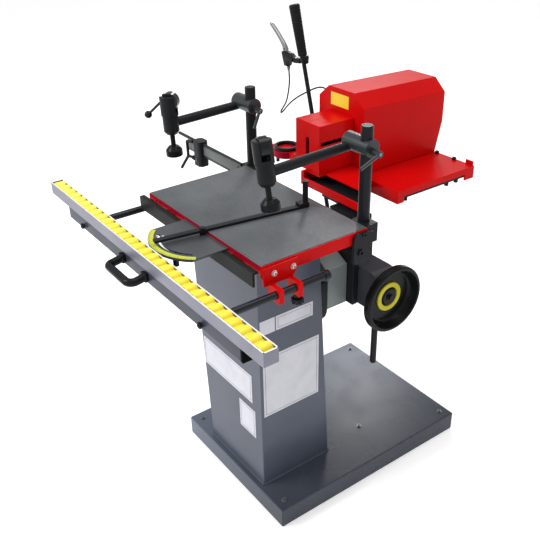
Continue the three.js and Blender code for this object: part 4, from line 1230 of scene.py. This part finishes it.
@dataclass
class LengthStop(SubAssembly):
    """The stop rod on the left with its sliding block and lever."""

    rod_radius: float = 0.005
    plate_thick: float = 0.005
    plate_inset: float = 0.052
    edge_height: float = 0.007
    plate_edge: float = 0.0006
    rod_rim: float = 0.0008
    screw: CapScrew = CapScrew(0.0055, 0.004, True)

    def build(self) -> None:
        """Dresses the stop's nodes and adds the rod, its plate and the block's screw."""
        self.add_rod_and_plate()
        self.dress("stop_block", SATIN_BLACK, 0.0015)
        self.dress("stop_lever", BLACKENED, 0.001)
        low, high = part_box("stop_block")
        seat = ((low.x + high.x) / 2, low.y + PROUD, low.z + 0.02)
        self.screw.make_heads("stop_block_screw", [seat], -Y_AXIS, TURNED, "stop_block")

    def add_rod_and_plate(self) -> None:
        """The round rod, the plate below it and the plate's dark edge, in place of the node."""
        low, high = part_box("stop_rod")
        mid, r, half = (low.y + high.y) / 2, self.rod_radius, self.plate_thick / 2
        length, rim = high.x - low.x, self.rod_rim
        centre, edge_top, start = high.z - r, low.z + self.edge_height, low.x + self.plate_inset
        profile = [(0, 0), (r - rim, 0), (r, rim), (r, length - rim), (r - rim, length), (0, length)]
        place = facing(X_AXIS, (low.x, mid, centre))
        made = make_turned("length_rod", profile, 28, place, STOP_ROD, "frame")
        for name, bottom, top, finish in (("length_edge", low.z, edge_top, STOP_ROD),
                                          ("length_plate", edge_top, centre - r * 0.4, STOP_PLATE)):
            make_block(name, (start, mid - half, bottom), (high.x, mid + half, top), self.plate_edge,
                       finish, "frame")
        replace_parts(made, "stop_rod")


@dataclass
class Lift(SubAssembly):
    """Ways, knee, gear case and handwheel that raise the head."""

    wheel_centre: tuple[float, float] = (0.012, 0.606)
    bolt: CapScrew = CapScrew(0.0055, 0.005)
    washer: tuple[float, float] = (0.011, 0.0016)
    nut: tuple[float, float] = (0.0078, 0.006)
    nut_rim: float = 0.001
    nut_lift: float = 0.0015
    ring_depth: float = 0.0055
    bolt_inset: float = 0.016
    bolt_inset_right: float = 0.03

    def build(self) -> None:
        """Dresses the lift and adds its bolts and the wheel's nut."""
        self.dress("way_plate", SATIN_BLACK, 0.002)
        self.dress("way_block", WAY_GREY, 0.002)
        self.dress("knee", SATIN_BLACK, 0.002)
        self.dress("gear_case", GEAR_GREY, 0.003)
        self.dress("lift_screw", SATIN_BLACK, 0.001)
        self.dress("x_way", BLACKENED, 0.0008)
        self.dress("reaction_rail", SATIN_BLACK, 0.0012)
        self.dress("handwheel", WHEEL_BLACK, 0.0012, 32.0, 3)
        self.dress("wheel_ring", RING_YELLOW, 0.0005)
        self.dress("cross_slide", SATIN_BLACK, 0.001)
        self.add_case_bolts()
        self.add_wheel_nut()

    def add_case_bolts(self) -> None:
        """Bolts at the corners of the gear case's back face."""
        low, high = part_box("gear_case")
        inset = self.bolt_inset
        seats = [(x, high.y - PROUD, z) for x in (low.x + inset, high.x - self.bolt_inset_right)
                 for z in (low.z + inset, high.z - inset)]
        self.bolt.make_heads("gear_case_bolts", seats, Y_AXIS, BLACKENED, "lift")

    def add_wheel_nut(self) -> None:
        """Washer and nut on the wheel's hub."""
        y, z = self.wheel_centre
        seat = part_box("wheel_ring")[0].x + self.ring_depth
        (r, height), rim = self.nut, self.nut_rim
        bm = fresh()
        add_disc(bm, *self.washer, 28, facing(X_AXIS, (seat, y, z)))
        add_turned(bm, [(0, 0), (r, 0), (r, height - rim), (r - rim, height), (0, height)], 6,
                   facing(X_AXIS, (seat + self.nut_lift, y, z)))
        make_piece("wheel_nut", bm, BLACKENED, "wheel")


@dataclass
class MotorHead(SubAssembly):
    """The plunging head: tray, guard, cover, motor, chuck and index arm."""

    sticker_x: tuple[float, float] = (-0.157, -0.084)
    sticker_z: tuple[float, float] = (0.9835, 1.0185)
    sticker_thick: float = 0.0004
    slit_y: tuple[float, float] = (0.0335, 0.085)
    slit_x: float = -0.113
    slit_wide: float = 0.0013
    screw_lift: float = 0.012
    cover_screw_y: tuple[float, float] = (0.03, 0.06)
    guard_screw_y: tuple[float, float] = (0.03, 0.02)
    cover_screw: CapScrew = CapScrew(0.004, 0.0025, True)
    guard_screw: CapScrew = CapScrew(0.0035, 0.0022, True)
    bumper_places: tuple[tuple[float, float], ...] = ((-0.0095, 0.43), (0.056, 0.43))
    bumper_radius: float = 0.0065
    bumper_sink: float = 0.0005
    tab_x: tuple[float, float] = (0.034, 0.008)
    tab_size: tuple[float, float] = (0.004, 0.012)
    pad_deep: float = 0.021
    pad_lip: float = 0.004
    pad_rim: float = 0.002
    dial_radius: float = 0.037
    dial_band: float = 0.009
    peg_part: float = 0.01
    peg_rim: float = 0.0008

    def build(self) -> None:
        """Dresses the head and adds index pad, sticker, seam, screws and bumpers."""
        self.dress("motor_tray", SIGNAL_RED, 0.0014)
        self.dress("tray_saddle", SATIN_BLACK, 0.001)
        self.dress("slide_rod", BLACK_PLASTIC, 0.001)
        self.dress("chuck_guard", SIGNAL_RED, 0.0014)
        self.dress("motor_cover", SIGNAL_RED, 0.0016)
        self.dress("motor", MOTOR_GREY, 0.002)
        self.dress("chuck", BLACKENED, 0.001)
        self.dress("index_arm", SIGNAL_RED, 0.0012)
        self.add_index_pad()
        self.add_sticker()
        self.add_slit()
        self.add_screws()
        self.add_bumpers()

    def add_index_pad(self) -> None:
        """Round pad at the index arm's end, the dial ring on it and the black sleeve on its peg."""
        low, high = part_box("index_arm")
        ring_low, ring_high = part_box("index_ring")
        skin, r, deep, rim = 2 * PROUD, self.dial_radius, self.pad_deep, self.pad_rim
        middle = Vector((ring_low.x + r, (ring_low.y + ring_high.y) / 2, ring_low.z))
        wide, tall, bore = r + self.pad_lip, ring_high.z - ring_low.z, r - self.dial_band
        pad = [(0, -deep), (wide - rim, -deep), (wide, rim - deep), (wide, -rim), (wide - rim, -skin),
               (0, -skin)]
        ring = [(bore, 0), (r - rim / 2, 0), (r, rim / 2), (r, tall - rim), (r - rim, tall),
                (bore + rim, tall), (bore, tall - rim)]
        make_turned("index_pad", pad, 44, facing(Z_AXIS, middle), CRIMSON, "head")
        dial = make_turned("index_dial", ring, 44, facing(Z_AXIS, middle), BLACKENED, "head")
        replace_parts(dial, "index_ring")
        points = [v.co for v in self.nodes["index_arm"].data.vertices]
        start, end = extent(p for p in points if p.z < low.z + self.peg_part)
        radius, length, rim = (end.x - start.x) / 2 + skin, high.z - deep - low.z, self.peg_rim
        peg = [(0, -skin), (radius - rim, -skin), (radius, rim), (radius, length), (0, length)]
        place = facing(Z_AXIS, ((start.x + end.x) / 2, (start.y + end.y) / 2, low.z))
        make_turned("index_peg", peg, 24, place, BLACKENED, "head")

    def add_sticker(self) -> None:
        """Bare yellow sticker on the cover's front."""
        face, (x0, x1), (z0, z1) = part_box("motor_cover")[0].y, self.sticker_x, self.sticker_z
        make_block("cover_sticker", (x0, face - self.sticker_thick, z0), (x1, face, z1),
                   self.sticker_thick * 0.3, STICKER_YELLOW, "head", 1)

    def add_slit(self) -> None:
        """The dark seam in the guard's roof."""
        top, x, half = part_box("chuck_guard")[1].z, self.slit_x, self.slit_wide / 2
        make_block("guard_seam", (x - half, self.slit_y[0], top - PROUD),
                   (x + half, self.slit_y[1], top + PROUD), PROUD * 0.3, INK_BLACK, "head", 1)

    def add_screws(self) -> None:
        """Screws along both feet of the cover and the guard's right side."""
        low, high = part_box("motor_cover")
        guard_low, guard_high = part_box("chuck_guard")
        bm = fresh()
        for side, x in ((1, high.x), (-1, low.x)):
            for y in (low.y + self.cover_screw_y[0], high.y - self.cover_screw_y[1]):
                seat = Vector((x - side * PROUD, y, low.z + self.screw_lift))
                self.cover_screw.add_to(bm, seat, X_AXIS * side)
        for y in (guard_low.y + self.guard_screw_y[0], guard_high.y - self.guard_screw_y[1]):
            seat = Vector((guard_high.x - PROUD, y, guard_low.z + self.screw_lift))
            self.guard_screw.add_to(bm, seat, X_AXIS)
        make_piece("cover_screws", bm, SIGNAL_RED, "head")

    def add_bumpers(self) -> None:
        """Rubber bumpers on the tray's back edge and the red tab beside them."""
        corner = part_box("motor_tray")[1]
        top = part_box("motor_cover")[0].z
        bm = fresh()
        r = self.bumper_radius
        profile = [(0, 0), (r * 0.8, 0), (r, r * 0.3), (r, r * 0.8), (r * 0.7, r * 1.2), (0, r * 1.3)]
        for x, y in self.bumper_places:
            add_turned(bm, profile, 18, facing(Z_AXIS, (x, y, top - self.bumper_sink)))
        make_piece("tray_bumpers", bm, BLACK_RUBBER, "head")
        (far, near), (thick, tall) = self.tab_x, self.tab_size
        make_block("tray_tab", (corner.x - far, corner.y - thick, top - self.bumper_sink),
                   (corner.x - near, corner.y, top + tall), 0.001, SIGNAL_RED, "head")


@dataclass
class ControlLever(SubAssembly):
    """The long lever with its grip, brake and cable."""

    pivot: tuple[float, float, float] = (-0.1835, 0.13, 0.821)
    lean: float = 0.283
    ring_corners: int = 60
    grip_ribs: int = 16
    rib_depth: float = 0.0006
    ribs_from: float = 0.06
    ribs_share: float = 0.84
    grip_radius: float = 0.0148
    foot_radius: float = 0.0125
    collar_reach: float = 0.0105
    cable_radius: float = 0.0022
    cable_start: tuple[float, float, float] = (-0.3254, 0.13, 1.0567)
    cable_drop: float = 0.145
    cable_left: float = 0.052
    cable_steps: int = 9
    axis: Vector = field(init=False)

    def build(self) -> None:
        """Dresses the lever and adds housing, grip, blade, cable and its fittings."""
        self.dress("lever_shaft", BLACKENED, 0.001)
        start, end = self.ends_of("lever_grip")
        self.axis = (end - start).normalized()
        self.add_housing()
        self.add_grip()
        self.add_blade()
        self.add_cable()
        self.add_fittings()

    def ends_of(self, node: str) -> tuple[Vector, Vector]:
        """Middles of a node's lowest and highest rings of corners.

        Args:
            node: Name of the node.

        Returns:
            The lower middle and the upper one.
        """
        points = [v.co for v in self.nodes[node].data.vertices]
        points.sort(key=lambda p: p.z - self.lean * p.x)
        count = self.ring_corners
        return sum(points[:count], Vector()) / count, sum(points[-count:], Vector()) / count

    def add_grip(self) -> None:
        """Rubber grip with fine ribs, a flared foot and a grey end cap."""
        start, end = self.ends_of("lever_grip")
        length = (end - start).length
        r, f = self.grip_radius, self.foot_radius
        profile = [(0, 0.0006), (f * 0.8, 0.0006), (f, 0.002)]
        step = length * self.ribs_share / self.grip_ribs
        for i in range(self.grip_ribs):
            z0 = length * (self.ribs_from + self.ribs_share * i / self.grip_ribs)
            here = f + (r - f) * min(1.0, z0 / length + 0.1)
            groove = here - self.rib_depth
            profile += [(here, z0), (here, z0 + step * 0.72), (groove, z0 + step * 0.8),
                        (groove, z0 + step * 0.94)]
        tip = length * 0.985
        profile += [(r, length * 0.91), (r, length * 0.965), (r * 0.92, tip), (r * 0.8, tip), (0, tip)]
        place = facing(self.axis, start)
        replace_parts(make_turned("grip_rubber", profile, 36, place, BLACK_RUBBER, "lever"), "lever_grip")
        cap = [(0, length * 0.98), (r * 0.82, length * 0.98), (r * 0.8, length * 0.992),
               (r * 0.68, length * 0.998), (0, length * 0.999)]
        make_turned("grip_cap", cap, 30, place, TURNED, "lever")

    def add_housing(self) -> None:
        """Cast housing: a collar on the lever, an arm and the body that holds the blade's pin."""
        low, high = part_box("brake_mount")
        mid, half = (low.y + high.y) / 2, (high.y - low.y) / 2
        wide, tall = high.x - low.x, high.z - low.z
        bm = fresh()
        rim_shares = [(0.0, 0.94), (0.03, 1.0), (0.3, 1.0), (0.38, 0.9), (0.48, 0.76), (0.58, 0.72),
                      (0.78, 0.82), (0.8, 0.5), (0.58, 0.42), (0.44, 0.46), (0.34, 0.44), (0.28, 0.24),
                      (0.24, 0.02), (0.12, 0.02), (0.05, 0.5)]
        outline = [Vector((low.x + u * wide, mid - half * 0.72, low.z + v * tall)) for u, v in rim_shares]
        add_slab(bm, outline, Vector((0, half * 1.44, 0)), 0.0022, 3)
        boss = facing(Y_AXIS, (low.x + 0.47 * wide, mid, low.z + 0.58 * tall))
        add_turned(bm, [(0, -half), (0.0042, -half), (0.005, -half + 0.0008), (0.005, half - 0.0008),
                        (0.0042, half), (0, half)], 24, boss)
        reach = self.collar_reach
        foot = self.axis_point(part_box("lever_grip")[0].z - reach * 0.5)
        collar = [(0.0064, -reach), (0.0085, -reach), (0.0095, -reach + 0.0012), (0.0128, reach * 0.45),
                  (0.0128, reach - 0.0012), (0.0118, reach), (0.0064, reach)]
        add_turned(bm, collar, 30, facing(self.axis, foot))
        housing = make_piece("brake_housing", bm, BLACK_PLASTIC, "lever")
        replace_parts(housing, "brake_mount")

    def axis_point(self, z: float) -> Vector:
        """The point of the lever's axis at a height."""
        x, y, pivot_z = self.pivot
        return Vector((x + self.axis.x / self.axis.z * (z - pivot_z), y, z))

    def add_blade(self) -> None:
        """Cast brake blade, curved away from the grip and tapering to a round tip."""
        low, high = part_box("brake_lever")
        mid = (low.y + high.y) / 2
        wide, tall = high.x - low.x, high.z - low.z
        spine_shares = [(0.98, 0.0), (0.97, 0.12), (0.9, 0.24), (0.78, 0.37), (0.62, 0.52), (0.46, 0.68),
                        (0.28, 0.84), (0.1, 0.97), (0.05, 0.985)]
        belly_shares = [(0.0, 0.96), (0.0, 0.9), (0.16, 0.76), (0.34, 0.6), (0.5, 0.44), (0.64, 0.28),
                        (0.73, 0.14), (0.74, 0.0)]
        rim, inset = spine_shares + belly_shares, 0.0008
        outline = [Vector((low.x + u * wide, low.y + inset, low.z + v * tall)) for u, v in rim]
        bm = fresh()
        add_slab(bm, outline, Vector((0, high.y - low.y - 2 * inset, 0)), 0.0016, 3)
        pin, half = fresh(), 0.0052
        add_disc(pin, 0.003, 2 * half, 16,
                 facing(Y_AXIS, (high.x - 0.012, mid - half, low.z + 0.006)))
        blade = make_piece("brake_blade", bm, ALLOY, "brake_lever")
        make_piece("brake_pin", pin, TURNED, "brake_lever")
        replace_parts(blade, "brake_lever")

    def cable_points(self) -> list[Vector]:
        """The cable's route from the brake's adjuster to the motor cover.

        Returns:
            Points of the route, in order.
        """
        x, y, z = self.cable_start
        left, drop = self.cable_left, self.cable_drop
        cover_low, cover_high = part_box("motor_cover")
        cover_top = cover_high.z
        route = [(x, y, z), (x, y + 0.002, z - drop * 0.33), (x - left * 0.35, y + 0.005, z - drop * 0.72),
                 (x - left * 0.92, y + 0.007, z - drop * 0.985),
                 (x - left * 0.85, y + 0.008, z - drop * 1.01),
                 (x - left * 0.1, y + 0.01, z - drop * 0.75), (x + left * 0.8, y + 0.018, z - drop * 0.52),
                 (cover_low.x - 0.03, cover_low.y + 0.031, cover_top - 0.0272),
                 (cover_low.x - 0.0025, cover_low.y + 0.062, cover_top - 0.0544)]
        return [Vector(p) for p in route]

    def add_cable(self) -> None:
        """The brake cable, a sleeve that curves from the lever to the head."""
        points = self.cable_points()
        line = []
        padded = [points[0] * 2 - points[1], *points, points[-1] * 2 - points[-2]]
        for a, b, c, d in zip(padded, padded[1:], padded[2:], padded[3:]):
            for i in range(self.cable_steps):
                t = i / self.cable_steps
                line.append(0.5 * (2 * b + (c - a) * t + (2 * a - 5 * b + 4 * c - d) * t * t
                                   + (3 * b - a - 3 * c + d) * t * t * t))
        line.append(points[-1])
        bm = fresh()
        add_tube(bm, line, self.cable_radius, 10)
        cable = make_object("cable_sleeve", bm, BLACK_RUBBER, 180.0)
        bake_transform(cable)
        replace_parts(cable, "brake_cable")
        log.info("piece cable_sleeve bends along %d points", len(line))

    def add_fittings(self) -> None:
        """Bright adjuster above the cable and the gland where it enters the cover."""
        points = self.cable_points()
        bore = self.cable_radius + 0.0003
        nipple = [(bore, -0.0105), (0.0034, -0.0105), (0.0038, -0.009), (0.0038, -0.006),
                  (0.0048, -0.0055), (0.0048, -0.0002), (bore, -0.0002)]
        make_turned("cable_adjuster", nipple, 18, facing(Z_AXIS, points[0]), ZINC, "lever")
        inward = (points[-1] - points[-2]).normalized()
        gland = [(0.0026, -0.006), (0.0045, -0.004), (0.006, 0.0012), (0.0026, 0.0012)]
        make_turned("cable_gland", gland, 18, facing(inward, points[-1]), BLACK_PLASTIC, "head")


@dataclass(frozen=True)
class Studio:
    """Camera, floor and lights."""

    eye: tuple[float, float, float] = (1.394, -1.163, 1.606)
    azimuth: float = 54.86
    elevation: float = 29.5
    roll: float = -1.42
    lens: float = 50.0
    floor_half: float = 60.0
    sky: float = 0.74
    floor_lift: float = 0.28

    def build(self) -> None:
        """Makes the camera first, then floor, sky and lights."""
        self.add_camera()
        self.add_floor()
        self.add_sky()
        self.add_light("key", (-1.3, -2.9, 3.2), 1.6, 90.0)
        self.add_light("top", (0.2, 0.3, 3.8), 2.0, 36.0)
        self.add_light("glint", (-3.0, 2.95, 3.2), 0.75, 34.0, (-0.05, 0.18, 0.06))

    def add_camera(self) -> None:
        """The camera at the photograph's place, with depth of field off."""
        a, e, roll = (math.radians(v) for v in (self.azimuth, self.elevation, self.roll))
        ahead = Vector((-math.sin(a) * math.cos(e), math.cos(a) * math.cos(e), -math.sin(e)))
        right = Vector((math.cos(a), math.sin(a), 0))
        up = right.cross(ahead)
        turned_right = right * math.cos(roll) + up * math.sin(roll)
        turned_up = up * math.cos(roll) - right * math.sin(roll)
        data = bpy.data.cameras.new("camera")
        data.lens, data.sensor_width, data.dof.use_dof = self.lens, 36.0, False
        camera = bpy.data.objects.new("camera", data)
        camera.matrix_world = Matrix.Translation(self.eye) @ axes(turned_right, turned_up, -ahead)
        bpy.context.scene.collection.objects.link(camera)
        bpy.context.scene.camera = camera

    def add_floor(self) -> None:
        """A plain pale floor."""
        bm = fresh()
        bmesh.ops.create_grid(bm, x_segments=1, y_segments=1, size=self.floor_half)
        mesh = bpy.data.meshes.new("floor")
        bm.to_mesh(mesh)
        bm.free()
        bench = ShaderBench("floor_pale")
        bench.put(Base_Color=(0.93, 0.93, 0.93, 1.0), Roughness=0.9, Specular_IOR_Level=0.05,
                  Emission_Color=(1.0, 1.0, 1.0, 1.0), Emission_Strength=self.floor_lift)
        mesh.materials.append(bench.material)
        floor = bpy.data.objects.new("floor", mesh)
        bpy.context.scene.collection.objects.link(floor)

    def add_sky(self) -> None:
        """Even white light from all round."""
        world = bpy.data.worlds.new("studio")
        world.use_nodes = True
        world.node_tree.nodes["Background"].inputs["Color"].default_value = (1, 1, 1, 1)
        world.node_tree.nodes["Background"].inputs["Strength"].default_value = self.sky
        bpy.context.scene.world = world
        bpy.context.scene.view_settings.view_transform = "Standard"

    def add_light(self, name: str, place: tuple[float, float, float], size: float, watts: float,
                  target: tuple[float, float, float] = (0.0, 0.0, 0.6)) -> None:
        """A square soft light.

        Args:
            name: Name of the light.
            place: Where it hangs.
            size: Length of its side.
            watts: Power.
            target: Point that it is aimed at.
        """
        data = bpy.data.lights.new(name, "AREA")
        data.size, data.energy = size, watts
        light = bpy.data.objects.new(name, data)
        light.visible_camera = False
        aim = Vector(target) - Vector(place)
        light.matrix_world = Matrix.Translation(place) @ aim.to_track_quat("-Z", "Y").to_matrix().to_4x4()
        bpy.context.scene.collection.objects.link(light)


def main() -> None:
    """Builds the studio and every sub-assembly in order."""
    logging.basicConfig(level=logging.INFO, format="%(name)s %(message)s")
    bpy.ops.wm.read_factory_settings(use_empty=True)
    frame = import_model()
    Studio().build()
    nodes = frame["nodes"]
    assemblies: list[SubAssembly] = [
        Pedestal(nodes), WorkTable(nodes), AngleFence(nodes), RollerRail(nodes),
        HoldDown(nodes, side=Side.RIGHT), HoldDown(nodes, side=Side.LEFT), LengthStop(nodes), Lift(nodes),
        MotorHead(nodes), ControlLever(nodes),
    ]
    for assembly in assemblies:
        assembly.build()
        log.info("built %s", type(assembly).__name__)


if __name__ == "__main__":
    main()
